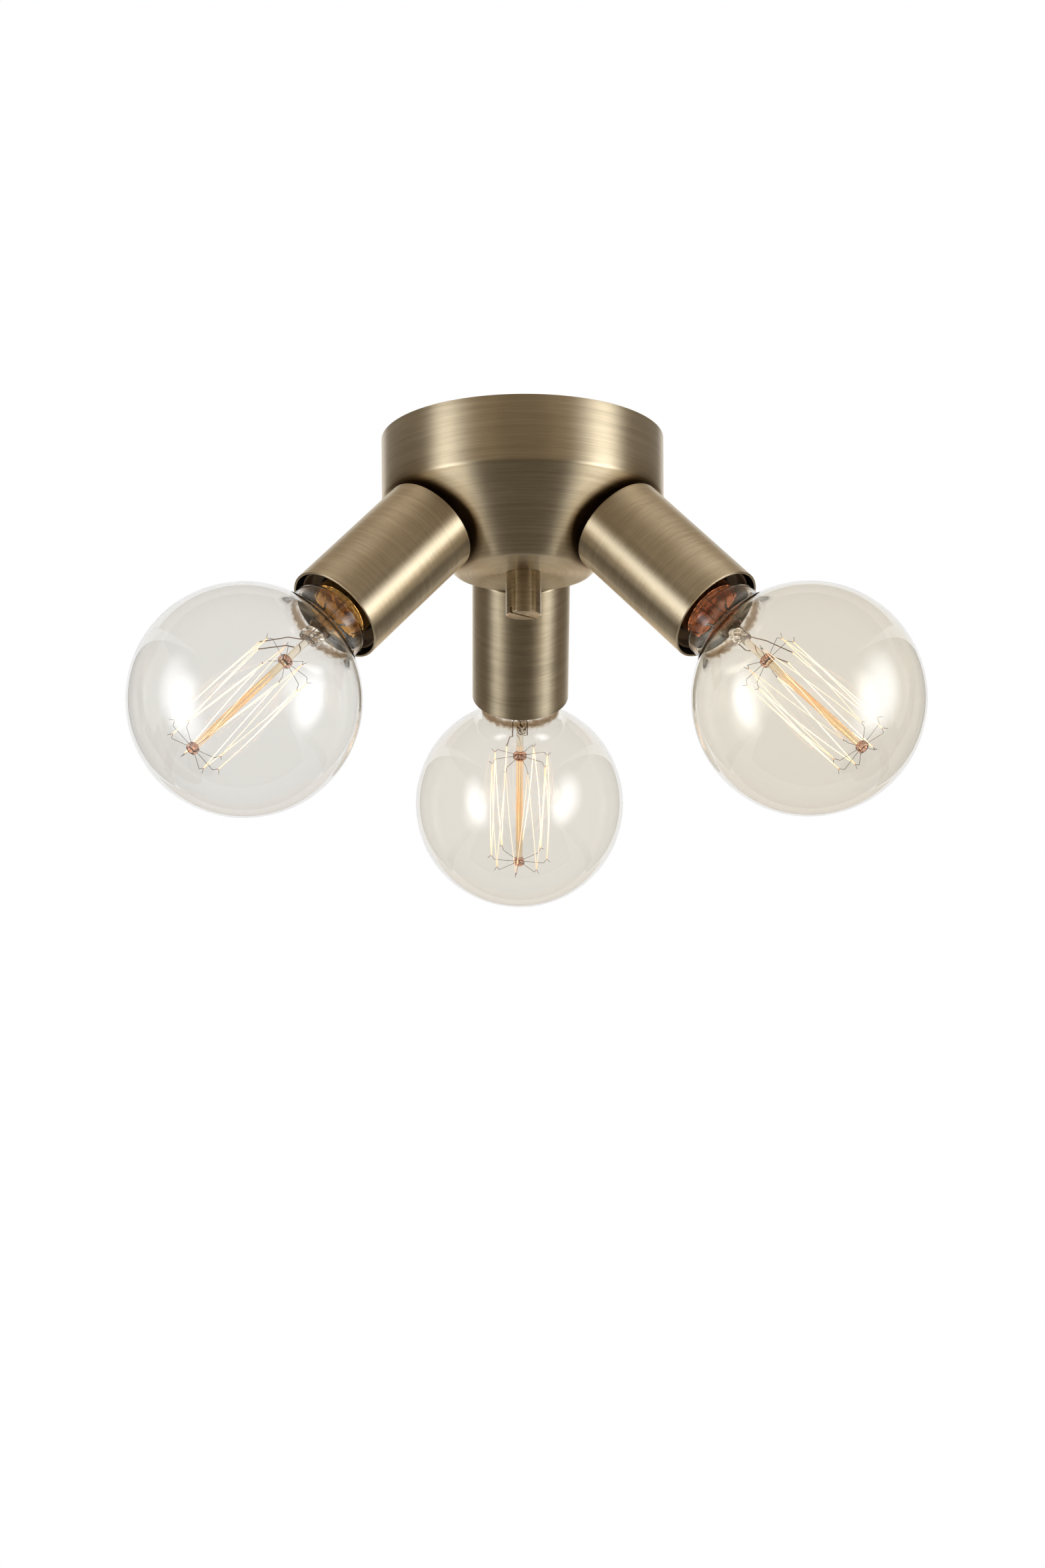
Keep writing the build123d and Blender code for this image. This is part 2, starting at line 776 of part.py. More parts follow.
def make_glass(blank):
    return offset(blank, amount=-glass_wall, openings=blank.faces().sort_by(Axis.Z)[0])


def make_cap():
    """Brass lamp cap: straight shell, rounded in at its lower end round the insulator."""
    inner = cap_radius - cap_wall
    mouth = insulator_radius + insulator_clearance
    shoulder = cap_shell_end + cap_shoulder_height
    return turned(
        (cap_radius, cap_rim, 0),
        (inner, cap_rim, 0),
        (inner, shoulder + cap_wall / 2, cap_shoulder_round),
        (mouth, cap_shell_end + 2 * cap_wall, 0),
        (mouth, cap_shell_end, 0),
        (cap_radius - cap_shoulder_round, cap_shell_end + cap_foot_rise, small_round),
        (cap_radius, shoulder, cap_shoulder_round),
    )


def make_insulator():
    low = lamp_tip + contact_height
    return turned(
        (insulator_bore, low, 0),
        (contact_radius + insulator_clearance, low, insulator_round),
        (insulator_radius, cap_shell_end - insulator_set_back, insulator_round),
        (insulator_radius, insulator_top, 0),
        (insulator_bore, insulator_top, 0),
    )


def make_tip_contact():
    top = lamp_tip + contact_height
    return turned(
        (0, lamp_tip, 0),
        (contact_radius * 0.7, lamp_tip, contact_height * 0.4),
        (contact_radius, top, 0),
        (0, top, 0),
    )


def make_stem():
    """Glass mount: flare, tube, flat press, exhaust tube, and the rod with its two hub beads."""
    flare = turned(
        (stem_flare_radius, stem_flare_end, 0),
        (stem_tube_radius, stem_tube_start, stem_flare_round),
        (stem_tube_radius, press_start, 0),
        (stem_tube_radius - stem_wall, press_start, 0),
        (stem_tube_radius - stem_wall, stem_tube_start, stem_flare_round + stem_wall),
        (stem_flare_radius - stem_wall * 1.4, stem_flare_end, 0),
    )
    press_height = press_end - press_start
    press = Pos(0, 0, press_start + press_height / 2) * Box(press_width, press_thickness, press_height)
    press = fillet(press.edges().filter_by(Axis.Z), press_round)
    seat = rod(stem_tube_radius, press_start - press_seat_depth, press_start + press_seat_height)
    stem = flare + seat + press + rod(exhaust_tube_radius, exhaust_tube_end, press_start)
    stem += rod(rod_radius, press_end - 1, lower_hub)
    for height, radius in ((upper_hub, upper_hub_radius), (lower_hub, lower_hub_radius)):
        stem += turned(
            (0, height - hub_half_height, 0),
            (radius, height - hub_half_height, hub_round),
            (radius, height + hub_half_height, hub_round),
            (0, height + hub_half_height, 0),
        )
    return stem


def hook_points(hub_s, towards_middle, angle):
    """Root, knee, vee and tip of one support wire."""
    profile = (
        (0.5 * rod_radius, hub_s),
        (hook_knee_radius, hub_s),
        (cage_radius, hub_s + towards_middle * hook_vee_depth),
        (hook_tip_radius, hub_s + towards_middle * (hook_vee_depth - hook_tip_rise)),
    )
    turn = radians(angle)
    return [(r * cos(turn), r * sin(turn), s) for r, s in profile]


def cage_angles():
    """Lower hooks all round; upper hooks between them, with one place left for the lead-ins."""
    pitch = 360 / lower_hook_count
    lower = [pitch * (index + 0.5) for index in range(lower_hook_count)]
    upper = [pitch * (index + 1) for index in range(lower_hook_count - 1)]
    return lower, upper


def make_hooks():
    lower, upper = cage_angles()
    wires = []
    for hub_s, towards_middle, angles in ((upper_hub, 1, upper), (lower_hub, -1, lower)):
        for angle in angles:
            points = hook_points(hub_s, towards_middle, angle)
            wires.append(mitred_wire(points, hook_wire_radius, 4))
    return wires


def filament_points():
    """Zigzag between the vees: along each vee's outer side, one short bridge at every hook."""
    lower, upper = cage_angles()
    bridge = 3 * hook_wire_radius
    leg_slope = atan2(cage_radius - hook_knee_radius, hook_vee_depth)
    seat = (hook_wire_radius + filament_radius + filament_clearance) / sin(leg_slope)
    upper_s = upper_hub + hook_vee_depth - seat
    lower_s = lower_hub - hook_vee_depth + seat
    gap_angle = degrees(lead_in_spread / cage_radius)
    radius = cage_radius

    def at(angle, height, shift=0.0):
        turn = radians(angle)
        return (
            radius * cos(turn) - shift * sin(turn),
            radius * sin(turn) + shift * cos(turn),
            height,
        )

    points = [at(gap_angle, upper_s)]
    for index, angle in enumerate(lower):
        points += [at(angle, lower_s, -bridge), at(angle, lower_s, bridge)]
        if index < len(upper):
            points += [at(upper[index], upper_s, -bridge), at(upper[index], upper_s, bridge)]
    points.append(at(-gap_angle, upper_s))
    return points


def make_filament(lead_ins):
    filament = mitred_wire(filament_points(), filament_radius, 5)
    for wire in lead_ins:
        filament -= wire
    return filament


def make_lead_ins():
    """Two wires sealed in the press: one from the cap's shell, one from the tip contact."""
    points = filament_points()
    wires = []
    for sign, end in ((1, points[0]), (-1, points[-1])):
        press_y = sign * lead_in_press_offset
        inner_y = sign * (exhaust_tube_radius + lead_in_tube_gap)
        if sign > 0:
            shell = cap_radius - cap_wall - lead_in_radius
            foot = [
                (0, shell, neck_end - lead_in_foot),
                (0, inner_y, neck_end - lead_in_foot + lead_in_foot_bend),
            ]
        else:
            foot = [
                (0, 0, lamp_tip + contact_height),
                (0, 0, insulator_top + lead_in_tip_rise),
                (0, inner_y, neck_end - lead_in_foot + lead_in_foot_bend / 3),
            ]
        seal = [
            (0, inner_y, press_start - 2 * lead_in_foot_bend),
            (0, press_y, press_start - lead_in_press_depth),
        ]
        upper = [
            (0, press_y, press_end + lead_in_press_rise),
            (end[0] * 0.45, (press_y + end[1]) / 2, press_end + lead_in_knee),
            end,
        ]
        wires.append(mitred_wire(foot + seal + upper, lead_in_radius, 6))
    return wires


# ================================================================ assembly
def build_pieces():
    blank = canopy_blank()
    hollow = canopy_hollow(blank)
    lower_end = -canopy_depth - fixing_nut_bore_depth + stud_end_clearance
    pieces = {
        "canopy": make_canopy(blank, hollow),
        "ceiling_bracket": make_bracket(),
        "centre_stud": rod(stud_radius, lower_end, stud_top),
        "stud_nuts": make_stud_nuts(),
        "stud_washer": ring(
            stud_washer_radius, stud_radius, bracket_face - stud_washer_thickness, bracket_face
        ),
        "fixing_nut": make_fixing_nut(),
        "terminal_block": make_terminal_block(),
        "terminal_barrels": make_terminal_barrels(),
        "clamp_screws": make_clamp_screws(),
        "block_screws": make_block_screws(),
        "earth_tag": make_earth_tag(),
        "earth_screw": make_earth_screw(),
        "earth_lead": make_earth_lead(),
        "live_leads": make_leads("live"),
        "neutral_leads": make_leads("neutral"),
        "threaded_nipples": on_each_lamp(ring(nipple_radius, nipple_bore, nipple_start, nipple_end)),
        "nipple_nuts": on_each_lamp(
            hex_nut(nipple_nut_flats, nipple_radius, saddle_face - nipple_nut_height, saddle_face)
        ),
        "saddle_washers": on_each_lamp(make_saddle_washer(hollow)),
        "saddle_spacers": on_each_lamp(make_saddle_spacer(blank)),
        "centre_contacts": on_each_lamp(make_centre_contact()),
        "side_contacts": on_each_lamp(make_side_contact()),
        "holder_screws": Compound(
            children=[place * screw for place in places.values() for screw in make_holder_screws()]
        ),
    }
    sleeve, dome = make_sleeve(), make_holder_dome()
    insert, skirt = make_holder_insert(), make_holder_skirt()
    glass = make_glass(envelope_blank())
    cap, insulator, tip = make_cap(), make_insulator(), make_tip_contact()
    hooks, lead_ins = make_hooks(), make_lead_ins()
    filament = make_filament(lead_ins)
    stem = make_stem()
    for wire in hooks + lead_ins:
        stem -= wire
    for side, place in places.items():
        spun = place * Rot(0, 0, lamp_turn_angles[side])
        pieces[f"sleeve_{side}"] = place * sleeve
        pieces[f"holder_dome_{side}"] = place * dome
        pieces[f"holder_insert_{side}"] = place * insert
        pieces[f"holder_skirt_{side}"] = place * skirt
        pieces[f"lamp_glass_{side}"] = spun * glass
        pieces[f"lamp_cap_{side}"] = spun * cap
        pieces[f"cap_insulator_{side}"] = spun * insulator
        pieces[f"tip_contact_{side}"] = spun * tip
        pieces[f"lamp_stem_{side}"] = spun * stem
        pieces[f"filament_hooks_{side}"] = Compound(children=[spun * wire for wire in hooks])
        pieces[f"lead_in_wires_{side}"] = Compound(children=[spun * wire for wire in lead_ins])
        pieces[f"filament_{side}"] = spun * filament
    return pieces


os.makedirs("parts", exist_ok=True)
for name, piece in build_pieces().items():
    export_step(piece, f"parts/{name}.step")
    print(f"{name}: {len(piece.solids())} solid(s)")
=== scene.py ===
# %% [markdown]
# # A semi flush ceiling light with three bare globe lamps
# The light hangs from the ceiling plane at z = 0, so nearly everything here has a negative height.
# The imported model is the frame: it gives the bodies and every piece's place. What a photograph shows
# well, such as the turned brass, the glass and the glowing filaments, is made again here with finer
# shapes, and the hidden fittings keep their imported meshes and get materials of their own.

# %% Load the frame
import bpy
import bmesh
from math import atan2, cos, hypot, pi, radians, sin, sqrt, tan
from mathutils import Matrix, Vector, noise
import random


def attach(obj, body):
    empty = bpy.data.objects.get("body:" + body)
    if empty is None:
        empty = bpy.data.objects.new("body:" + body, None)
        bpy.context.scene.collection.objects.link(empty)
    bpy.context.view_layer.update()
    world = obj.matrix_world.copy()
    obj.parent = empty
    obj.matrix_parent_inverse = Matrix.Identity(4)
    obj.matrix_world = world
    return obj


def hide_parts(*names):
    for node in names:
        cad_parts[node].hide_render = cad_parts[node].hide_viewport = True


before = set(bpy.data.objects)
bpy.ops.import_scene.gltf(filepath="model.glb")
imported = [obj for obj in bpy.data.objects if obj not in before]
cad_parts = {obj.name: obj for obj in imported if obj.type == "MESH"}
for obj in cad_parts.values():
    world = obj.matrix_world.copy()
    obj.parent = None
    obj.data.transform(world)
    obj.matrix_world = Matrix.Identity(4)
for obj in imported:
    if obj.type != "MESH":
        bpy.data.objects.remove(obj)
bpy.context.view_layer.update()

# %% [markdown]
# ## The camera
# The picture was taken from below the light with a long lens. Its place, turn and lens were worked
# out from the outlines of the canopy, the sleeves and the globes. The camera stands 0.46 m below the
# ceiling plane and looks up by 12.7 degrees, which opens the round edges into ellipses.

# %% Camera
picture_height = 2352
camera_place = Vector((-0.02572, -1.37694, -0.46071))
camera_yaw, camera_pitch, camera_roll = radians(1.033), radians(12.666), radians(-0.362)
focal_pixels = 5047.4

camera_data = bpy.data.cameras.new("camera")
camera_data.sensor_width = 36.0
camera_data.lens = focal_pixels / picture_height * camera_data.sensor_width
camera_data.clip_end = 50
camera = bpy.data.objects.new("camera", camera_data)
bpy.context.scene.collection.objects.link(camera)
ahead = Vector((sin(camera_yaw), cos(camera_yaw), 0))
forward = ahead * cos(camera_pitch) + Vector((0, 0, sin(camera_pitch)))
level = Vector((cos(camera_yaw), -sin(camera_yaw), 0))
above = level.cross(forward)
right = cos(camera_roll) * level + sin(camera_roll) * above
up = -sin(camera_roll) * level + cos(camera_roll) * above
camera.matrix_world = Matrix.Translation(camera_place) @ Matrix((right, up, -forward)).transposed().to_4x4()
bpy.context.scene.camera = camera
print("lens", round(camera_data.lens, 2), "mm")

# %% [markdown]
# ## Studio
# Glass and brushed metal are mirrors of the room, so the room is designed. Two soft boxes stand half
# a metre away, in front and below, one on each side. They give the bands of light on the brass. Their
# light fades towards the edges, as it does through a diffusing cloth, so they leave soft white clouds
# on the globes. Warm grey panels in front, beside, below, above and low behind give the darker bands
# and show in reflections alone. Straight behind the light the room stays open. The world is white
# wherever the camera, a reflection or a view through glass meets it, and dimmer for the light it gives.

# %% Helpers for nodes
def set_inputs(node, values):
    """Sets a node's inputs, by name or number: a socket is linked, and anything else is a constant."""
    for name, value in values.items():
        if isinstance(value, bpy.types.NodeSocket):
            node.id_data.links.new(value, node.inputs[name])
        else:
            node.inputs[name].default_value = value


def add_node(tree, kind, inputs=None, **settings):
    """Adds a node to the row, sets its properties and then its inputs."""
    node = tree.nodes.new(kind)
    node.location = (200 * len(tree.nodes) - 3000, 400)
    for name, value in settings.items():
        setattr(node, name, value)
    set_inputs(node, inputs or {})
    return node


def scalar(tree, operation, *values):
    """The result of a Math node on sockets or numbers."""
    return add_node(tree, "ShaderNodeMath", dict(enumerate(values)), operation=operation).outputs[0]


def vector(tree, operation, *values):
    """The result of a Vector Math node: a length is a number, and the rest are vectors."""
    node = add_node(tree, "ShaderNodeVectorMath", dict(enumerate(values)), operation=operation)
    return node.outputs["Value" if operation == "LENGTH" else "Vector"]


def parts_of(tree, coordinates):
    """The x, y and z of a vector."""
    return add_node(tree, "ShaderNodeSeparateXYZ", {0: coordinates}).outputs


def noise_at(tree, coordinates, scale, detail=2.0, roughness=0.5):
    """Noise between 0 and 1 at the coordinates."""
    inputs = {"Vector": coordinates, "Scale": scale, "Detail": detail, "Roughness": roughness}
    return add_node(tree, "ShaderNodeTexNoise", inputs).outputs["Fac"]


def mixed(tree, share, first, second):
    """Two numbers mixed by a share."""
    return add_node(tree, "ShaderNodeMix", {0: share, 2: first, 3: second}, data_type="FLOAT").outputs[0]


def spread(tree, value, low, high, to_low=0.0, to_high=1.0, **settings):
    """The value's range from low to high, spread over another range."""
    inputs = {"Value": value, "From Min": low, "From Max": high, "To Min": to_low, "To Max": to_high}
    return add_node(tree, "ShaderNodeMapRange", inputs, **settings).outputs["Result"]


def colour_between(tree, value, stops):
    """The colour that a value has on a ramp of (position, colour) stops."""
    ramp = add_node(tree, "ShaderNodeValToRGB", {"Fac": value})
    elements = ramp.color_ramp.elements
    while len(elements) < len(stops):
        elements.new(0.5)
    for element, (position, colour) in zip(elements, stops):
        element.position = position
        element.color = (*colour, 1)
    return ramp.outputs["Color"]


def bumped(tree, height, strength, distance):
    """The normal of a skin with this height."""
    inputs = {"Height": height, "Strength": strength, "Distance": distance}
    return add_node(tree, "ShaderNodeBump", inputs).outputs["Normal"]


def object_coordinates(tree):
    """Coordinates that stay with the piece."""
    return add_node(tree, "ShaderNodeTexCoord").outputs["Object"]


def new_material(name):
    """A material, its node tree and its surface shader."""
    material = bpy.data.materials.new(name)
    material.use_nodes = True
    tree = material.node_tree
    return material, tree, tree.nodes["Principled BSDF"]


def multiply_base_colour(tree, surface, factor):
    """Puts a colour factor between a shader's base colour and what feeds it."""
    plain = surface.inputs["Base Color"].links[0].from_socket
    set_inputs(surface, {"Base Color": vector(tree, "MULTIPLY", plain, factor)})


# %% World
world = bpy.data.worlds.new("studio")
bpy.context.scene.world = world
world.use_nodes = True
tree = world.node_tree
tree.nodes.clear()
path = add_node(tree, "ShaderNodeLightPath").outputs
seen_or_glossy = scalar(tree, "MAXIMUM", path["Is Camera Ray"], path["Is Glossy Ray"])
shown = scalar(tree, "MAXIMUM", seen_or_glossy, path["Is Transmission Ray"])
plain_light = add_node(tree, "ShaderNodeBackground", {"Color": (0.95, 0.97, 1.0, 1), "Strength": 0.55})
white_room = add_node(tree, "ShaderNodeBackground", {"Color": (1, 1, 1, 1), "Strength": 1.0})
lights = {0: shown, 1: plain_light.outputs[0], 2: white_room.outputs[0]}
add_node(tree, "ShaderNodeOutputWorld", {"Surface": add_node(tree, "ShaderNodeMixShader", lights).outputs[0]})
bpy.context.scene.view_settings.view_transform = "Standard"


# %% Soft boxes, grey panels and floor
def facing(place, target):
    """Matrix that puts an object at place with its -Z towards target."""
    turn = (Vector(target) - Vector(place)).to_track_quat("-Z", "Y")
    return Matrix.Translation(place) @ turn.to_matrix().to_4x4()


studio_target = (0, 0, -0.12)


def flat_panel(name, place, width, height, roll=0.0, target=studio_target, mirrored_only=False):
    """A rectangle of the studio that faces its target, as its empty node tree."""
    mesh = bpy.data.meshes.new(name)
    w, h = width / 2, height / 2
    mesh.from_pydata([(-w, -h, 0), (w, -h, 0), (w, h, 0), (-w, h, 0)], [], [(0, 1, 2, 3)])
    panel = bpy.data.objects.new(name, mesh)
    panel.matrix_world = facing(place, target) @ Matrix.Rotation(radians(roll), 4, "Z")
    panel.visible_camera = panel.visible_shadow = False
    panel.visible_transmission = panel.visible_diffuse = not mirrored_only
    bpy.context.scene.collection.objects.link(panel)
    glow = bpy.data.materials.new(name)
    glow.use_nodes = True
    glow.node_tree.nodes.clear()
    mesh.materials.append(glow)
    return glow.node_tree


def soft_box(name, place, width, height, strength, roll=0.0, core=0.1):
    """A glowing panel, full strength inside its core and fading to nothing at its edge."""
    tree = flat_panel(name, place, width, height, roll)
    mapping = {"Vector": object_coordinates(tree), "Scale": (2 / width, 2 / height, 1)}
    reach = vector(tree, "LENGTH", add_node(tree, "ShaderNodeMapping", mapping).outputs["Vector"])
    fade = spread(tree, reach, core, 1.0, strength, 0.0, interpolation_type="SMOOTHSTEP")
    glow = add_node(tree, "ShaderNodeEmission", {"Color": (0.95, 1.0, 1.08, 1), "Strength": fade})
    clear = add_node(tree, "ShaderNodeBsdfTransparent")
    both = add_node(tree, "ShaderNodeAddShader", {0: glow.outputs[0], 1: clear.outputs[0]})
    add_node(tree, "ShaderNodeOutputMaterial", {"Surface": both.outputs[0]})


def grey_panel(name, place, width, height, radiance, target=studio_target):
    """An evenly lit warm grey panel that only reflections see."""
    tree = flat_panel(name, place, width, height, target=target, mirrored_only=True)
    glow = add_node(tree, "ShaderNodeEmission", {"Color": (1.18, 1.0, 0.80, 1), "Strength": radiance})
    add_node(tree, "ShaderNodeOutputMaterial", {"Surface": glow.outputs[0]})


soft_box("soft_box_left", (-0.42, -0.24, -0.20), 0.35, 0.74, 4.2, roll=8)
soft_box("soft_box_right", (0.47, -0.25, -0.17), 0.47, 0.78, 4.8, roll=-14)
grey_panel("panel_front", (0.0, -2.2, -0.1), 6.0, 3.6, 0.22)
grey_panel("panel_camera", (0.0, -1.9, -0.1), 1.35, 3.6, 0.16)
grey_panel("panel_left", (-2.4, 0.8, -0.1), 6.0, 3.6, 0.11, target=(0, 0.8, -0.1))
grey_panel("panel_right", (2.4, 0.8, -0.1), 6.0, 3.6, 0.12, target=(0, 0.8, -0.1))
grey_panel("panel_behind", (0.0, 2.6, -1.5), 3.4, 2.0, 0.5)
grey_panel("panel_below", (0.0, -0.6, -2.0), 4.2, 3.4, 0.055)
grey_panel("panel_above", (0.0, -0.2, 1.9), 4.6, 4.6, 0.36)

floor_half, floor_height = 4.0, -2.4
floor_signs = ((-1, -1), (1, -1), (1, 1), (-1, 1))
floor_corners = [(x * floor_half, y * floor_half, floor_height) for x, y in floor_signs]
floor_mesh = bpy.data.meshes.new("floor")
floor_mesh.from_pydata(floor_corners, [], [(0, 1, 2, 3)])
floor = bpy.data.objects.new("floor", floor_mesh)
bpy.context.scene.collection.objects.link(floor)
floor_paint, _, floor_surface = new_material("pale_floor")
set_inputs(floor_surface, {"Base Color": (0.86, 0.86, 0.85, 1), "Roughness": 0.9})
floor_mesh.materials.append(floor_paint)
print("studio: 2 soft boxes, 7 panels, 1 floor")

# %% [markdown]
# ## Sizes and axes
# The turned brass and the lamps are described in millimetres about their own axes, just as a lathe
# sees them. Each lamp has an axis of its own: it starts on the closed end of its sleeve, and s grows
# towards the globe.

# %% Sizes in millimetres
millimetre = 0.001
canopy_radius, cone_top_radius = 60.5, 60.2
canopy_side_height, canopy_depth, disc_radius = 28.0, 59.5, 28.5
canopy_wall, spacer_gap = 1.2, 1.5
fixing_nut_radius, fixing_nut_length = 7.5, 18.5
sleeve_radius, sleeve_wall, sleeve_length, sleeve_end = 21.5, 1.0, 64.0, 1.2
nipple_hole_radius, stud_hole_radius, nut_bore_radius, nut_bore_depth = 5.2, 3.3, 3.05, 13.0
skirt_radius, skirt_lip_radius, skirt_lip_wall, skirt_rim = 18.6, 19.4, 1.0, 61.0
insert_radius, lamp_bore, insert_face = 12.9, 13.5, 36.8
globe_radius, globe_centre, glass_wall = 47.5, 121.5, 0.9
neck_seat_radius, neck_end, neck_radius, neck_fillet = 12.5, 54.0, 17.8, 8.0
cap_rim, cap_radius, cap_wall, cap_shell_end = 61.5, 13.1, 0.3, 39.6
rod_radius, exhaust_radius, hub_half_height = 1.6, 1.8, 1.6
upper_hub, upper_hub_radius, lower_hub, lower_hub_radius = 95.6, 3.1, 153.2, 2.6
cage_radius, knee_radius, hook_tip_radius, vee_depth, tip_rise = 13.0, 11.6, 14.6, 2.3, 1.6
hook_pitch, hook_wire_radius, hook_bend_radius, filament_radius = 45.0, 0.11, 0.3, 0.15
lamp_azimuths = {"left": 210.0, "right": 330.0, "rear": 90.0}
lamp_spins = {"left": 118.0, "right": 28.0, "rear": 75.0}
lamp_tilt = atan2(cone_top_radius - disc_radius, canopy_depth - canopy_side_height)
cone_mid_radius = (cone_top_radius + disc_radius) / 2
cone_mid_height = -(canopy_side_height + canopy_depth) / 2


def lamp_place(azimuth):
    """Matrix of a lamp's axis in millimetres: local Z runs along the axis towards the globe."""
    out = Vector((cos(radians(azimuth)), sin(radians(azimuth)), 0))
    axis = out * cos(lamp_tilt) - Vector((0, 0, sin(lamp_tilt)))
    side = Vector((-out.y, out.x, 0))
    middle = out * cone_mid_radius
    middle.z = cone_mid_height
    turn = Matrix((side, axis.cross(side), axis)).transposed().to_4x4()
    return Matrix.Translation(middle + axis * spacer_gap) @ turn


places = {side: lamp_place(azimuth) for side, azimuth in lamp_azimuths.items()}
upright = Matrix.Identity(4)
for side, place in places.items():
    print(side, "lamp axis starts at", [round(v, 1) for v in place.translation])

# %% [markdown]
# ## Brushed brass
# The brass is spun on a lathe, brushed with an abrasive held against the turning piece, darkened and
# lacquered. The fine lines therefore run round each piece's own axis, and they spread a highlight
# along the axis. The material measures where a point lies along the outline, draws lines there with
# noise that is stretched round the axis, and turns the shader's stretched highlight the same way.


# %% Brushed brass material
def local_coordinates(tree, place):
    """Object coordinates turned into millimetres about a piece's own axis."""
    inputs = {
        "Vector": object_coordinates(tree),
        "Location": place.translation * millimetre,
        "Rotation": place.to_euler(),
        "Scale": (millimetre, millimetre, millimetre),
    }
    return add_node(tree, "ShaderNodeMapping", inputs, vector_type="TEXTURE").outputs["Vector"]


def brushed_brass(name, place, dark=(0.54, 0.43, 0.275), light=(0.92, 0.78, 0.54), roughness=0.4):
    """Turned and brushed antique brass whose lines run round the place's axis."""
    material, tree, surface = new_material(name)
    point = local_coordinates(tree, place)
    flat = vector(tree, "MULTIPLY", point, (1, 1, 0))
    direction = vector(tree, "NORMALIZE", flat)
    outline_place = scalar(tree, "ADD", vector(tree, "LENGTH", flat), parts_of(tree, point)["Z"])
    along = add_node(tree, "ShaderNodeCombineXYZ", {"Z": outline_place}).outputs[0]
    stretched = vector(tree, "ADD", along, vector(tree, "MULTIPLY", direction, (0.6, 0.6, 0.6)))
    fine = noise_at(tree, stretched, 4.2, 4.0, 0.7)
    lines = mixed(tree, 0.3, fine, noise_at(tree, stretched, 0.55))
    mottled = mixed(tree, 0.22, lines, noise_at(tree, point, 0.035, 4.0))
    # The highlight is stretched square to the brush lines, so the shader needs their direction.
    around = vector(tree, "CROSS_PRODUCT", (0, 0, 1), direction)
    turned = add_node(
        tree, "ShaderNodeMapping", {"Vector": around, "Rotation": place.to_euler()}, vector_type="VECTOR"
    ).outputs["Vector"]
    tangent = add_node(
        tree,
        "ShaderNodeVectorTransform",
        {"Vector": turned},
        vector_type="VECTOR",
        convert_from="OBJECT",
        convert_to="WORLD",
    ).outputs["Vector"]
    inputs = {
        "Base Color": colour_between(tree, mottled, [(0.33, dark), (0.67, light)]),
        "Roughness": spread(tree, lines, 0.35, 0.65, roughness - 0.05, roughness + 0.07),
        "Normal": bumped(tree, fine, 0.05, 0.00004),
        "Tangent": tangent,
        "Metallic": 1.0,
        "Anisotropic": 0.93,
        "Anisotropic Rotation": 0.25,
        "Coat Weight": 0.2,
        "Coat Roughness": 0.22,
    }
    set_inputs(surface, inputs)
    return material


# %% [markdown]
# ## Turned shapes
# A turned piece is one outline carried round an axis. Corners get real small arcs, because a lathe
# and a polishing wheel leave no sharp edge, and it is these arcs that catch the thin lines of light.


# %% Outlines and turning
def rounded(corners, steps=8):
    """Closed (radius, s) outline from (radius, s, round) corners, each round drawn as an arc."""
    outline = []
    count = len(corners)
    for index, (r, s, size) in enumerate(corners):
        corner = Vector((r, s))
        if size == 0:
            outline.append(corner)
            continue
        back = (Vector(corners[index - 1][:2]) - corner).normalized()
        ahead = (Vector(corners[(index + 1) % count][:2]) - corner).normalized()
        half = back.angle(ahead) / 2
        centre = corner + (back + ahead).normalized() * size / sin(half)
        start = corner + back * size / tan(half) - centre
        end = corner + ahead * size / tan(half) - centre
        sweep = start.angle_signed(end)
        for step in range(steps + 1):
            turn = -sweep * step / steps
            across = start.x * cos(turn) - start.y * sin(turn)
            along = start.x * sin(turn) + start.y * cos(turn)
            outline.append(centre + Vector((across, along)))
    return outline


def new_piece(name, mesh_work, place, material, sharp_angle=32):
    """Mesh object from a bmesh in a piece's own millimetres, with its place in the mesh."""
    bmesh.ops.remove_doubles(mesh_work, verts=mesh_work.verts, dist=1e-5)
    bmesh.ops.recalc_face_normals(mesh_work, faces=mesh_work.faces)
    for face in mesh_work.faces:
        face.smooth = True
    for edge in mesh_work.edges:
        edge.smooth = len(edge.link_faces) == 2 and edge.calc_face_angle(0) < radians(sharp_angle)
    mesh = bpy.data.meshes.new(name)
    mesh_work.to_mesh(mesh)
    mesh_work.free()
    mesh.transform(Matrix.Scale(millimetre, 4) @ place)
    mesh.materials.append(material)
    piece = bpy.data.objects.new(name, mesh)
    bpy.context.scene.collection.objects.link(piece)
    return piece


def turn_outline(outline, segments, mesh_work=None):
    """Carries a closed (radius, s) outline round local Z."""
    mesh_work = mesh_work or bmesh.new()
    turns = [2 * pi * k / segments for k in range(segments)]
    rings = []
    for r, s in outline:
        if r < 1e-6:
            rings.append([mesh_work.verts.new((0, 0, s))] * segments)
        else:
            rings.append([mesh_work.verts.new((r * cos(turn), r * sin(turn), s)) for turn in turns])
    for ring, following in zip(rings, rings[1:] + rings[:1]):
        for k in range(segments):
            corners = [ring[k], ring[(k + 1) % segments], following[(k + 1) % segments], following[k]]
            unique = list(dict.fromkeys(corners))
            if len(unique) > 2:
                mesh_work.faces.new(unique)
    return mesh_work


def dress(piece, body, node):
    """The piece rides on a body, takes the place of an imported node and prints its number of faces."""
    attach(piece, body)
    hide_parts(node)
    print(piece.name, len(piece.data.polygons), "faces")


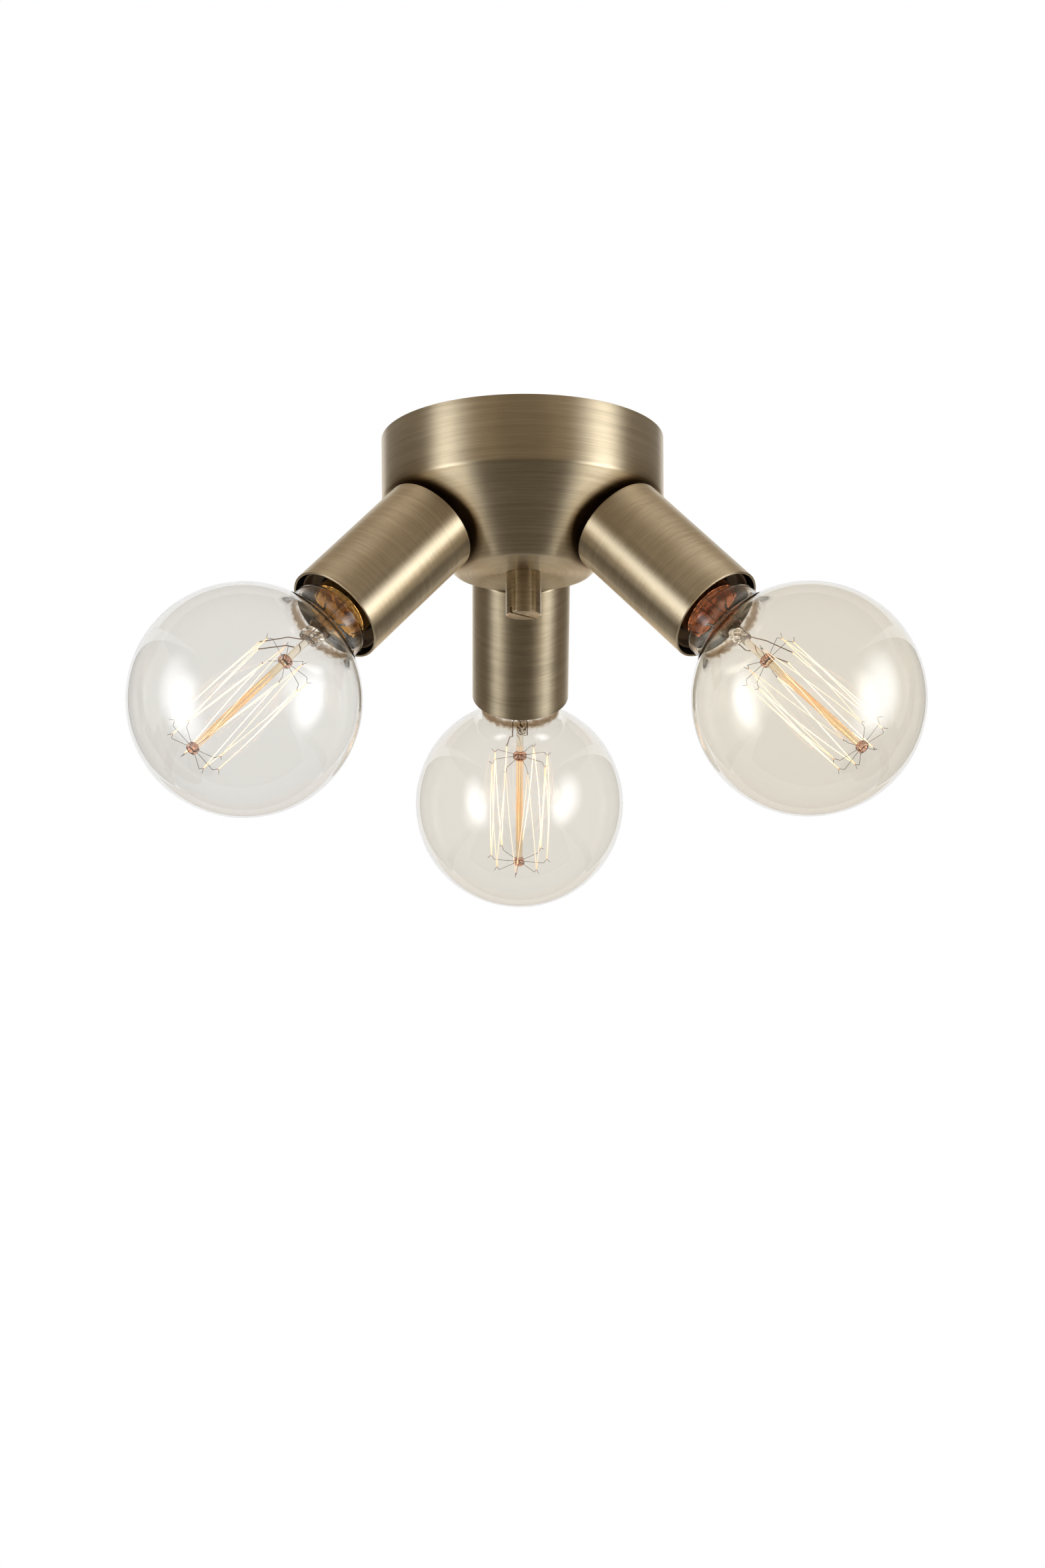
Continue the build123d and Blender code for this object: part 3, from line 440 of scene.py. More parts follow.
def paint(piece, place, finish, chosen):
    """A second finish on the faces that chosen(radius, s, outwardness) picks in local millimetres."""
    piece.data.materials.append(finish)
    to_local = (Matrix.Scale(millimetre, 4) @ place).inverted()
    turn = place.to_3x3().inverted()
    for face in piece.data.polygons:
        centre = to_local @ face.center
        normal = turn @ face.normal
        radius = hypot(centre.x, centre.y)
        outward = (normal.x * centre.x + normal.y * centre.y) / max(radius, 1e-6)
        if chosen(radius, centre.z, outward):
            face.material_index = 1


def drilled(piece, cutters):
    """The piece with each cutter's volume taken out, as a plain mesh again."""
    for cutter in cutters:
        cut = piece.modifiers.new("cut", "BOOLEAN")
        cut.operation, cut.solver, cut.object = "DIFFERENCE", "EXACT", cutter
    graph = bpy.context.evaluated_depsgraph_get()
    graph.update()
    mesh = bpy.data.meshes.new_from_object(piece.evaluated_get(graph))
    piece.modifiers.clear()
    piece.data = mesh
    for cutter in cutters:
        bpy.data.objects.remove(cutter)
    for polygon in mesh.polygons:
        polygon.use_smooth = True
    mesh.set_sharp_from_angle(angle=radians(32))
    return piece


# %% [markdown]
# ## The canopy
# One spun sheet of brass: a straight side, a cone at 45 degrees that carries the three arms, and a
# flat disc for the nut. Its wall is 1.2 mm. The holes for the arms' threaded tubes and for the stud
# are drilled through it. In the corners round the sleeves, shade is painted on the cone, nearly black.

# %% Canopy
def paint_corner_shade(material):
    """Paints shade on the cone round each sleeve, by the distance from the nearest sleeve's axis."""
    tree = material.node_tree
    point = local_coordinates(tree, upright)
    x, y, z = parts_of(tree, point)
    # The three sleeves stand alike, so every point is turned into the rear sleeve's third.
    azimuth = scalar(tree, "WRAP", scalar(tree, "ARCTAN2", y, x), radians(150), radians(30))
    radius = vector(tree, "LENGTH", vector(tree, "MULTIPLY", point, (1, 1, 0)))
    outward = scalar(tree, "MULTIPLY", scalar(tree, "SINE", azimuth), radius)
    sideways = scalar(tree, "MULTIPLY", scalar(tree, "COSINE", azimuth), radius)
    middle = cone_mid_radius * sin(lamp_tilt) + cone_mid_height * cos(lamp_tilt)
    level = scalar(tree, "MULTIPLY_ADD", z, cos(lamp_tilt), -middle)
    up_slope = scalar(tree, "MULTIPLY_ADD", outward, sin(lamp_tilt), level)
    pair = add_node(tree, "ShaderNodeCombineXYZ", {"X": up_slope, "Y": sideways}).outputs[0]
    # Painted shade: the cone darkens towards each sleeve, standing for the shade where the sleeve meets it.
    reach = spread(tree, vector(tree, "LENGTH", pair), sleeve_radius - 1, sleeve_radius + 9)
    nearly_black, brown, faint, none = (0.13, 0.09, 0.05), (0.38, 0.31, 0.23), (0.80, 0.76, 0.70), (1, 1, 1)
    stops = [(0.08, nearly_black), (0.22, brown), (0.45, faint), (0.9, none)]
    multiply_base_colour(tree, tree.nodes["Principled BSDF"], colour_between(tree, reach, stops))


canopy_brass = brushed_brass("aged_brass_canopy_painted_shade", upright)
# Painted shade on the cone round the sleeves.
paint_corner_shade(canopy_brass)
canopy_outline = rounded(
    [
        (stud_hole_radius, -canopy_depth, 0),
        (disc_radius, -canopy_depth, 3.5),
        (cone_top_radius, -canopy_side_height, 2.5),
        (canopy_radius, 0, 0.3),
        (canopy_radius - canopy_wall, 0, 0.3),
        (cone_top_radius - canopy_wall, -canopy_side_height + 0.5, 1.6),
        (disc_radius - 0.5, -canopy_depth + canopy_wall, 2.5),
        (stud_hole_radius, -canopy_depth + canopy_wall, 0),
    ]
)
canopy = new_piece("canopy_spun", turn_outline(canopy_outline, 240), upright, canopy_brass)
drill_outline = [(0, -6), (nipple_hole_radius, -6), (nipple_hole_radius, 1.4), (0, 1.4)]
drills = [
    new_piece("drill", turn_outline(drill_outline, 48), place, canopy_brass) for place in places.values()
]
dress(drilled(canopy, drills), "fixture", "canopy")

# %% [markdown]
# ## Slotted nut
# A cap nut turned from bar: a straight side, a small rounded edge and a driver slot across its end.

# %% Fixing nut
nut_low = -canopy_depth - fixing_nut_length
nut_outline = rounded(
    [
        (0, nut_low, 0),
        (fixing_nut_radius, nut_low, 0.7),
        (fixing_nut_radius, nut_low + 3.2, 0),
        (fixing_nut_radius, nut_low + 4.2, 0),
        (fixing_nut_radius, -canopy_depth, 0.25),
        (nut_bore_radius, -canopy_depth, 0),
        (nut_bore_radius, -canopy_depth - nut_bore_depth, 0),
        (0, -canopy_depth - nut_bore_depth, 0),
    ]
)
nut_brass = brushed_brass("aged_brass_nut", upright, (0.40, 0.30, 0.18), (0.86, 0.70, 0.46), 0.33)
nut = new_piece("fixing_nut_turned", turn_outline(nut_outline, 96), upright, nut_brass)
slot_work = bmesh.new()
bmesh.ops.create_cube(slot_work, size=1)
driver_slot_width, driver_slot_depth, driver_slot_azimuth = 1.5, 2.4, 43.0
slot_size = Matrix.Diagonal((20, driver_slot_width, 2 * driver_slot_depth, 1))
slot_turn = Matrix.Translation((0, 0, nut_low)) @ Matrix.Rotation(radians(driver_slot_azimuth), 4, "Z")
slot_cutter = new_piece("cutter", slot_work, slot_turn @ slot_size, nut_brass)
dress(drilled(nut, [slot_cutter]), "fixing_nut", "fixing_nut")

# %% Plain metal
def plain_metal(name, dark, light, roughness, scale=260.0):
    """Pressed or drawn metal: a mottled colour and uneven gloss."""
    material, tree, surface = new_material(name)
    mottle = noise_at(tree, object_coordinates(tree), scale, 4.0)
    inputs = {
        "Base Color": colour_between(tree, mottle, [(0.3, dark), (0.7, light)]),
        "Roughness": spread(tree, mottle, 0.0, 1.0, roughness * 0.8, roughness * 1.2),
        "Normal": bumped(tree, mottle, 0.08, 0.0001),
        "Metallic": 1.0,
    }
    set_inputs(surface, inputs)
    return material


# %% [markdown]
# ## Sleeves and lampholders
# Each sleeve is a plain tube with a closed inner end, nearly black on its inner faces. The lampholder's
# black ring ends three millimetres inside the mouth, with a gap of about a millimetre all round it,
# and its edge is rounded and glossy.

# %% Sleeves
sleeve_outline = rounded(
    [
        (nipple_hole_radius, 0, 0),
        (sleeve_radius, 0, 0.8),
        (sleeve_radius, sleeve_length, 0.25),
        (sleeve_radius - sleeve_wall, sleeve_length, 0.25),
        (sleeve_radius - sleeve_wall, sleeve_end, 0.4),
        (nipple_hole_radius, sleeve_end, 0),
    ]
)
dark_inside = plain_metal("sleeve_inside", (0.018, 0.014, 0.010), (0.045, 0.034, 0.024), 0.5)
for side, place in places.items():
    sleeve_brass = brushed_brass(f"aged_brass_sleeve_{side}", place)
    sleeve = new_piece(f"sleeve_turned_{side}", turn_outline(sleeve_outline, 200), place, sleeve_brass)
    paint(sleeve, place, dark_inside, lambda r, s, outward: outward < -0.7 and r > nipple_hole_radius + 0.8)
    dress(sleeve, "fixture", f"sleeve_{side}")


# %% Moulded black
def moulded(name, colour, roughness, grain=0.02, coat=0.0):
    """Moulded plastic or ceramic: an even colour with a faint cloud and a fine skin."""
    material, tree, surface = new_material(name)
    point = object_coordinates(tree)
    darker, lighter = [c * 0.88 for c in colour], [min(1, c * 1.08) for c in colour]
    inputs = {
        "Base Color": colour_between(tree, noise_at(tree, point, 90.0), [(0.3, darker), (0.7, lighter)]),
        "Normal": bumped(tree, noise_at(tree, point, 1800.0), grain, 0.0001),
        "Roughness": roughness,
        "Coat Weight": coat,
    }
    set_inputs(surface, inputs)
    return material


black_moulding = moulded("black_moulding", (0.010, 0.009, 0.008), 0.28, 0.01)
set_inputs(black_moulding.node_tree.nodes["Principled BSDF"], {"Specular IOR Level": 0.16})
lip_inside = skirt_lip_radius - skirt_lip_wall
skirt_outline = rounded(
    [
        (insert_radius, 26.0, 0),
        (16.25, 26.0, 0),
        (16.25, 32.0, 0),
        (skirt_radius, 32.0, 0.5),
        (skirt_radius, 51.5, 0.5),
        (skirt_lip_radius, 53.5, 0.5),
        (skirt_lip_radius, skirt_rim, 0.45),
        (lip_inside, skirt_rim, 0.45),
        (lip_inside, 55.5, 1.5),
        (lamp_bore, 55.5, 1.0),
        (lamp_bore, insert_face, 0),
        (insert_radius, 34.8, 0),
    ]
)
for side, place in places.items():
    skirt = new_piece(f"skirt_moulded_{side}", turn_outline(skirt_outline, 128), place, black_moulding)
    dress(skirt, "fixture", f"holder_skirt_{side}")

# %% [markdown]
# ## Glass envelopes
# A globe 95 mm across is blown on a short neck, and a shoulder swells just in front of the cap. The
# wall is modelled with both its faces, because the pair of faces gives the double rim and the bent
# reflections that tell glass from a bubble. Where the neck meets the globe, the dark sleeve and skirt
# are mirrored and bent in the thick glass, and that dark reflection is painted on as a ragged ring.


# %% Envelope outline
def envelope_outline(inset):
    """Open (radius, s) outline of the envelope from its seat to the globe's pole, moved in by inset."""
    fillet_r = neck_radius + neck_fillet
    fillet_s = globe_centre - sqrt((globe_radius + neck_fillet) ** 2 - fillet_r**2)
    throat_end = atan2(globe_centre - fillet_s, -fillet_r)
    seat = neck_seat_radius - inset
    points = [(seat, neck_end), (seat, cap_rim - 0.9), (seat + 0.1, cap_rim - 0.3)]
    swell = neck_radius - 12.9
    for step in range(13):
        share = step / 12
        ease = share * share * (3 - 2 * share)
        r = 12.9 + swell * ease - inset * (1 + 0.5 * ease)
        points.append((r, 61.9 + 5.4 * share - inset * (1 - share) * 0.5))
    for step in range(1, 25):
        turn = pi + (throat_end - pi) * step / 24
        reach = neck_fillet + inset * (1.5 - 0.5 * step / 24)
        points.append((fillet_r + reach * cos(turn), fillet_s + reach * sin(turn)))
    start = atan2(points[-1][1] - globe_centre, points[-1][0])
    for step in range(1, 73):
        turn = start + (pi / 2 - start) * step / 72
        reach = globe_radius - inset
        points.append((max(0.0, reach * cos(turn)), globe_centre + reach * sin(turn)))
    points[-1] = (0.0, globe_centre + globe_radius - inset)
    return points


# %% Glass material
def clear_glass(name, tint, roughness=0.0):
    """Clear glass with a faint cloud of colour and slow waves in its face."""
    material, tree, surface = new_material(name)
    point = object_coordinates(tree)
    stops = [(0.2, [c * 0.985 for c in tint]), (0.8, tint)]
    inputs = {
        "Base Color": colour_between(tree, noise_at(tree, point, 30.0), stops),
        "Normal": bumped(tree, noise_at(tree, point, 45.0, 1.0), 0.06, 0.0004),
        "Transmission Weight": 1.0,
        "Roughness": roughness,
        "IOR": 1.47,
        "Specular IOR Level": 0.4,
    }
    set_inputs(surface, inputs)
    return material


def height_colour(tree, height, low, high, stops):
    """A colour for each height along the lamp's axis, with the stops spread from low to high."""
    return colour_between(tree, spread(tree, height, low, high), stops)


def globe_glass(side, place, tint):
    """An envelope's glass, with a painted dark reflection: an uneven ring where its neck meets the globe."""
    material = clear_glass(f"globe_glass_{side}", tint)
    tree = material.node_tree
    point = local_coordinates(tree, place)
    # Painted reflection: the dark ring stands for the skirt and sleeve mirrored in the glass at the waist.
    uneven = scalar(tree, "MULTIPLY_ADD", noise_at(tree, point, 0.45, 3.0), 5.0, parts_of(tree, point)["Z"])
    clear, brown, dark, faint = (1, 1, 1), (0.42, 0.31, 0.21), (0.30, 0.21, 0.13), (0.80, 0.74, 0.66)
    stops = [(0.0, clear), (0.20, clear), (0.30, brown), (0.46, dark), (0.54, faint), (0.62, clear)]
    multiply_base_colour(tree, tree.nodes["Principled BSDF"], height_colour(tree, uneven, 66.0, 80.0, stops))
    return material


globe_tints = {"left": (0.896, 0.884, 0.858), "right": (0.892, 0.862, 0.800), "rear": (0.898, 0.874, 0.828)}
for side, place in places.items():
    work = turn_outline(envelope_outline(0) + envelope_outline(glass_wall)[::-1], 160)
    glass = globe_glass(side, place, globe_tints[side])
    envelope = new_piece(f"envelope_blown_{side}", work, place, glass, 60)
    envelope.visible_shadow = False
    dress(envelope, f"lamp_{side}", f"lamp_glass_{side}")

# %% [markdown]
# ## Screw caps
# The cap is thin brass rolled into a round thread. Its crest is 13.1 mm from the axis and each turn
# climbs 3.63 mm. The ridge is drawn by moving a fine grid in and out with a cosine, which is nearly
# what the rolling makes. It fades out where the glass neck is seated. Through the neck the camera sees
# the cap's inner face, lit by the filament, and that light is painted on it as a faint glow.


# %% Rolled caps
def rolled_cap(segments=120, rows=84):
    """Thread ridges between the cap's shoulder and its plain rim, with an inner and an outer face."""
    mesh_work = bmesh.new()
    pitch, depth = 3.63, 0.85
    low, high = cap_shell_end, cap_rim

    def skin(inset):
        grid = []
        for row in range(rows + 1):
            s = low + (high - low) * row / rows
            fade = min(1.0, (s - low) / 3.0) * min(1.0, max(0.0, (neck_end - s) / 2.0))
            curl = 2.6 * max(0.0, 1 - (s - low) / 2.4) ** 2
            ring = []
            for k in range(segments):
                turn = 2 * pi * k / segments
                ridge = (1 - cos(2 * pi * (s / pitch - k / segments))) / 2
                r = cap_radius - inset - curl - depth * fade * ridge
                ring.append(mesh_work.verts.new((r * cos(turn), r * sin(turn), s)))
            grid.append(ring)
        return grid

    outer, inner = skin(0.0), skin(cap_wall)
    for grid in (outer, inner):
        for ring, following in zip(grid, grid[1:]):
            for k in range(segments):
                mesh_work.faces.new(
                    [ring[k], ring[(k + 1) % segments], following[(k + 1) % segments], following[k]]
                )
    for end in (0, rows):
        for k in range(segments):
            a, b = outer[end], inner[end]
            mesh_work.faces.new([a[k], a[(k + 1) % segments], b[(k + 1) % segments], b[k]])
    return mesh_work


cap_tones = {
    "left": ((0.30, 0.17, 0.04), (0.90, 0.66, 0.26)),
    "right": ((0.24, 0.08, 0.04), (0.74, 0.36, 0.20)),
    "rear": ((0.36, 0.22, 0.08), (0.90, 0.66, 0.34)),
}


def lit_inside(name, dark, light):
    """The cap's lacquered inner face, mottled, with the filament's light in front of it painted on as a faint
    glow.
    """
    material = plain_metal(name, dark, light, 0.42, 180.0)
    surface = material.node_tree.nodes["Principled BSDF"]
    tint = surface.inputs["Base Color"].links[0].from_socket
    # Painted light: the weak emission stands for the filament's light falling on this face.
    set_inputs(surface, {"Emission Color": tint, "Metallic": 0.35, "Emission Strength": 0.13})
    return material


spun_places = {
    side: place @ Matrix.Rotation(radians(lamp_spins[side]), 4, "Z") for side, place in places.items()
}
for side, place in spun_places.items():
    tones = cap_tones[side]
    cap_outside = plain_metal(f"cap_brass_{side}", *tones, 0.3)
    cap = new_piece(f"cap_rolled_{side}", rolled_cap(), place, cap_outside, 60)
    paint(cap, place, lit_inside(f"cap_inside_{side}", *tones), lambda r, s, outward: outward < 0)
    dress(cap, f"lamp_{side}", f"lamp_cap_{side}")

# %% [markdown]
# ## Stem
# Inside each globe a glass stem is sealed to the neck. Its flat press holds the wires, and a glass
# rod rises from it with two beads, the hubs, from which the hooks spread. The press is squeezed hot,
# so its faces are lumpy, and noise moves them here. The lit filament's amber light on the rod between
# the hubs is painted into the glass, and the beads are pinkish brown.


# %% Stems
hubs = ((upper_hub, upper_hub_radius), (lower_hub, lower_hub_radius))


def stem_work():
    """Flare, tube, press, exhaust tube, rod and hubs as closed turned shapes and one flattened block."""
    work = bmesh.new()
    flare_outside = [(11.2, 56.0, 0.4), (5.2, 66.0, 5.0), (5.2, 73.6, 0.5)]
    flare_inside = [(4.3, 73.2, 0), (4.3, 66.0, 6.0), (9.9, 56.0, 0.4)]
    turn_outline(rounded(flare_outside + flare_inside), 64, work)
    for radius, low, high, low_round in (
        (exhaust_radius, 45.0, 74.2, 0.5),
        (rod_radius, 81.5, upper_hub - 1.2, 0),
        (rod_radius, upper_hub + 1.2, lower_hub - 1.2, 0),
    ):
        corners = [(0, low, 0), (radius, low, low_round), (radius, high, 0), (0, high, 0)]
        turn_outline(rounded(corners), 32, work)
    for height, radius in hubs:
        turn_outline(
            rounded(
                [
                    (0, height - hub_half_height, 0),
                    (radius, height - hub_half_height, 1.1),
                    (radius, height + hub_half_height, 0.8),
                    (radius * 0.55, height + hub_half_height, 0.4),
                    (radius * 0.45, height + 0.7, 0.3),
                    (0, height + 0.7, 0),
                ],
                5,
            ),
            40,
            work,
        )
    press_half, press_middle = (5.5, 2.25, 4.2), 78.25
    press = bmesh.ops.create_icosphere(work, subdivisions=5, radius=1)
    for vert in press["verts"]:
        x, y, z = vert.co
        reach = (abs(x) ** 4 + abs(y) ** 4 + abs(z) ** 4) ** 0.25
        squared = vert.co / reach
        lump = 0.90 + 0.16 * (noise.noise(squared * 1.9 + Vector((3, 1, 2))) - 0.35)
        vert.co = Vector([size * part for size, part in zip(press_half, squared)]) * min(1.0, lump)
        vert.co.z += press_middle
    return work


def rod_glass(name, place):
    """Clear glass with the filament's amber light painted on it between the two hubs."""
    material = clear_glass(name, (0.96, 0.94, 0.90), 0.03)
    tree = material.node_tree
    # Painted light: the amber between the hubs stands for the lit filament's glow on the rod.
    stops = [
        (0.0, (0.94, 0.87, 0.76)),
        (0.2, (0.93, 0.80, 0.58)),
        (0.55, (0.96, 0.66, 0.36)),
        (0.9, (0.93, 0.74, 0.50)),
        (1.0, (0.90, 0.80, 0.68)),
    ]
    height = parts_of(tree, local_coordinates(tree, place))["Z"]
    set_inputs(tree.nodes["Principled BSDF"], {"Base Color": height_colour(tree, height, 84.0, 154.0, stops)})
    return material


bead_glass = clear_glass("bead_glass", (0.80, 0.50, 0.38), 0.08)


def on_a_hub(r, s, outward):
    """Whether a face of the stem belongs to one of the two beads."""
    return any(abs(s - height) < hub_half_height + 0.1 for height, _ in hubs)


for side, place in spun_places.items():
    stem = new_piece(f"stem_drawn_{side}", stem_work(), place, rod_glass(f"rod_glass_{side}", place), 40)
    paint(stem, place, bead_glass, on_a_hub)
    dress(stem, f"lamp_{side}", f"lamp_stem_{side}")

# %% [markdown]
# ## Hooks
# Fifteen thin wires spread from the two hubs, eight below and seven above, with one place left free
# for the lead-in wires. Each ends in a small vee that cradles the filament. They are one wire carried
# round the axis, so Geometry Nodes makes them: the object's own mesh is the wire's centre line, the
# tree rounds its bends, gives it thickness and sets a copy at every angle.


# %% Geometry Nodes tree for a ring of wires
def ring_of_wires_tree():
    """Tree with named inputs: Count, Pitch, First, Wire radius, Bend radius and Finish."""
    tree = bpy.data.node_groups.new("ring_of_wires", "GeometryNodeTree")
    sockets = {}
    for name, kind, value in (
        ("Geometry", "NodeSocketGeometry", None),
        ("Count", "NodeSocketInt", 8),
        ("Pitch", "NodeSocketFloat", radians(hook_pitch)),
        ("First", "NodeSocketFloat", 0.0),
        ("Wire radius", "NodeSocketFloat", hook_wire_radius),
        ("Bend radius", "NodeSocketFloat", hook_bend_radius),
        ("Finish", "NodeSocketMaterial", None),
    ):
        socket = tree.interface.new_socket(name, in_out="INPUT", socket_type=kind)
        if value is not None:
            socket.default_value = value
        sockets[name] = socket.identifier
    tree.interface.new_socket("Geometry", in_out="OUTPUT", socket_type="NodeSocketGeometry")
    given = add_node(tree, "NodeGroupInput").outputs
    line = add_node(tree, "GeometryNodeMeshToCurve", {"Mesh": given["Geometry"]}).outputs["Curve"]
    bend = {"Curve": line, "Count": 4, "Radius": given["Bend radius"]}
    bent = add_node(tree, "GeometryNodeFilletCurve", bend, mode="POLY").outputs["Curve"]
    circle = {"Resolution": 8, "Radius": given["Wire radius"]}
    section = add_node(tree, "GeometryNodeCurvePrimitiveCircle", circle).outputs["Curve"]
    sweep = {"Curve": bent, "Profile Curve": section, "Fill Caps": True}
    wire = add_node(tree, "GeometryNodeCurveToMesh", sweep).outputs["Mesh"]
    stations = add_node(tree, "GeometryNodePoints", {"Count": given["Count"]}).outputs[0]
    index = add_node(tree, "GeometryNodeInputIndex").outputs[0]
    angle = scalar(tree, "MULTIPLY_ADD", index, given["Pitch"], given["First"])
    turn = add_node(tree, "ShaderNodeCombineXYZ", {"Z": angle}).outputs[0]
    ring = {"Points": stations, "Instance": wire, "Rotation": turn}
    copies = add_node(tree, "GeometryNodeInstanceOnPoints", ring).outputs["Instances"]
    solid = add_node(tree, "GeometryNodeRealizeInstances", {"Geometry": copies}).outputs["Geometry"]
    painted = add_node(tree, "GeometryNodeSetMaterial", {"Geometry": solid, "Material": given["Finish"]})
    add_node(tree, "NodeGroupOutput", {"Geometry": painted.outputs["Geometry"]})
    return tree, sockets


ring_tree, ring_sockets = ring_of_wires_tree()
print("tree", ring_tree.name, "inputs", list(ring_sockets))

# %% Hook wires
hook_steel = plain_metal("hook_wire", (0.10, 0.08, 0.07), (0.26, 0.22, 0.19), 0.35, 900.0)
hub_rings = {
    "upper": dict(hub=upper_hub, inward=1, count=7, first=radians(hook_pitch)),
    "lower": dict(hub=lower_hub, inward=-1, count=8, first=radians(hook_pitch / 2)),
}


def hook_line(hub, inward):
    """Centre line of one hook from the rod: out to the knee, down the vee and up to the tip."""
    vee, tip = hub + inward * vee_depth, hub + inward * (vee_depth - tip_rise)
    return [(0.9, 0, hub), (knee_radius, 0, hub), (cage_radius, 0, vee), (hook_tip_radius, 0, tip)]


def ring_of_hooks(name, hub, inward, count, first):
    """The hooks of one hub as a plain mesh in the lamp's own millimetres."""
    line = bpy.data.meshes.new(name)
    points = hook_line(hub, inward)
    line.from_pydata(points, [(k, k + 1) for k in range(len(points) - 1)], [])
    carrier = bpy.data.objects.new(name, line)
    bpy.context.scene.collection.objects.link(carrier)
    nodes = carrier.modifiers.new("ring", "NODES")
    nodes.node_group = ring_tree
    for socket, value in (
        ("Count", count),
        ("Pitch", radians(hook_pitch)),
        ("First", first),
        ("Wire radius", hook_wire_radius),
        ("Bend radius", hook_bend_radius),
        ("Finish", hook_steel),
    ):
        nodes[ring_sockets[socket]] = value
    graph = bpy.context.evaluated_depsgraph_get()
    mesh = bpy.data.meshes.new_from_object(carrier.evaluated_get(graph))
    bpy.data.objects.remove(carrier)
    return mesh


for side, place in spun_places.items():
    work = bmesh.new()
    for hub_name, ring in hub_rings.items():
        work.from_mesh(ring_of_hooks(f"hooks_{hub_name}", **ring))
    hooks = new_piece(f"hooks_bent_{side}", work, place, hook_steel, 50)
    dress(hooks, f"lamp_{side}", f"filament_hooks_{side}")

# %% [markdown]
# ## Filament
# One long wire zigzags between the vees of the lower and the upper hooks and hangs a little slack, so
# its legs bow and lean. It glows nearly white along its legs and turns orange close to each hook,
# because the hook draws heat away. Height along the lamp's axis therefore sets its colour.


# %% Glowing filaments
def glowing_wire(name, place):
    """White-hot wire, more orange towards the hooks at both ends of its legs."""
    material, tree, surface = new_material(name)
    orange, warm, white_hot = (1.0, 0.52, 0.27), (1.0, 0.76, 0.56), (1.0, 0.88, 0.76)
    stops = [(0.0, orange), (0.12, warm), (0.5, white_hot), (0.88, warm), (1.0, orange)]
    height = parts_of(tree, local_coordinates(tree, place))["Z"]
    heat = height_colour(tree, height, 98.0, 151.0, stops)
    set_inputs(surface, {"Base Color": (0.3, 0.2, 0.12, 1), "Emission Color": heat})
    set_inputs(surface, {"Emission Strength": 1.25})
    return material


def filament_points(seed):
    """Points along the zigzag in the lamp's own millimetres, with slack legs."""
    chance = random.Random(seed)
    seat = 0.6
    upper_s, lower_s = upper_hub + vee_depth - seat, lower_hub - vee_depth + seat
    gap = 2.6 / cage_radius
    stops = [(gap, upper_s)]
    for index in range(8):
        stops.append((radians(hook_pitch * (index + 0.5)), lower_s))
        if index < 7:
            stops.append((radians(hook_pitch * (index + 1)), upper_s))
    stops.append((-gap + 2 * pi, upper_s))
    points = []
    for (angle, s), (next_angle, next_s) in zip(stops, stops[1:]):
        bow = chance.uniform(-0.35, 0.9)
        lean = chance.uniform(-0.5, 0.5)
        for step in range(12):
            share = step / 12
            sag = sin(pi * share)
            r = cage_radius + bow * sag
            turn = angle + (next_angle - angle) * share + lean * sag / cage_radius
            points.append((r * cos(turn), r * sin(turn), s + (next_s - s) * share))
    last_angle, last_s = stops[-1]
    points.append((cage_radius * cos(last_angle), cage_radius * sin(last_angle), last_s))
    return points


def filament_mesh(points):
    """A round wire along points, as a plain mesh in the same millimetres."""
    data = bpy.data.curves.new("filament", "CURVE")
    data.dimensions = "3D"
    spline = data.splines.new("POLY")
    spline.points.add(len(points) - 1)
    for point, place in zip(spline.points, points):
        point.co = (*place, 1)
    data.bevel_depth = filament_radius
    data.bevel_resolution = 1
    data.use_fill_caps = True
    curve = bpy.data.objects.new("filament", data)
    bpy.context.scene.collection.objects.link(curve)
    graph = bpy.context.evaluated_depsgraph_get()
    mesh = bpy.data.meshes.new_from_object(curve.evaluated_get(graph))
    bpy.data.objects.remove(curve)
    return mesh


for seed, (side, place) in enumerate(spun_places.items()):
    work = bmesh.new()
    work.from_mesh(filament_mesh(filament_points(seed + 3)))
    glow = glowing_wire(f"filament_glow_{side}", place)
    filament = new_piece(f"filament_hung_{side}", work, place, glow, 80)
    dress(filament, f"lamp_{side}", f"filament_{side}")

# %% Light of the filaments
light_heights, light_watts, light_colour, light_radius = (108.0, 138.0), 0.35, (1.0, 0.62, 0.32), 0.012
for side, place in spun_places.items():
    for height in light_heights:
        data = bpy.data.lights.new(f"filament_light_{side}", "POINT")
        data.energy = light_watts
        data.color = light_colour
        data.shadow_soft_size = light_radius
        lamp = bpy.data.objects.new(f"filament_light_{side}", data)
        lamp.location = place @ Vector((0, 0, height)) * millimetre
        lamp.visible_camera = lamp.visible_glossy = lamp.visible_transmission = False
        bpy.context.scene.collection.objects.link(lamp)
print("6 small warm lamps inside the cages")

# %% [markdown]
# ## Fittings that stay as packed
# The bracket, the terminal block, the leads and the small parts are hidden by the canopy from below
# and show only from above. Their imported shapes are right, so they only get finishes.

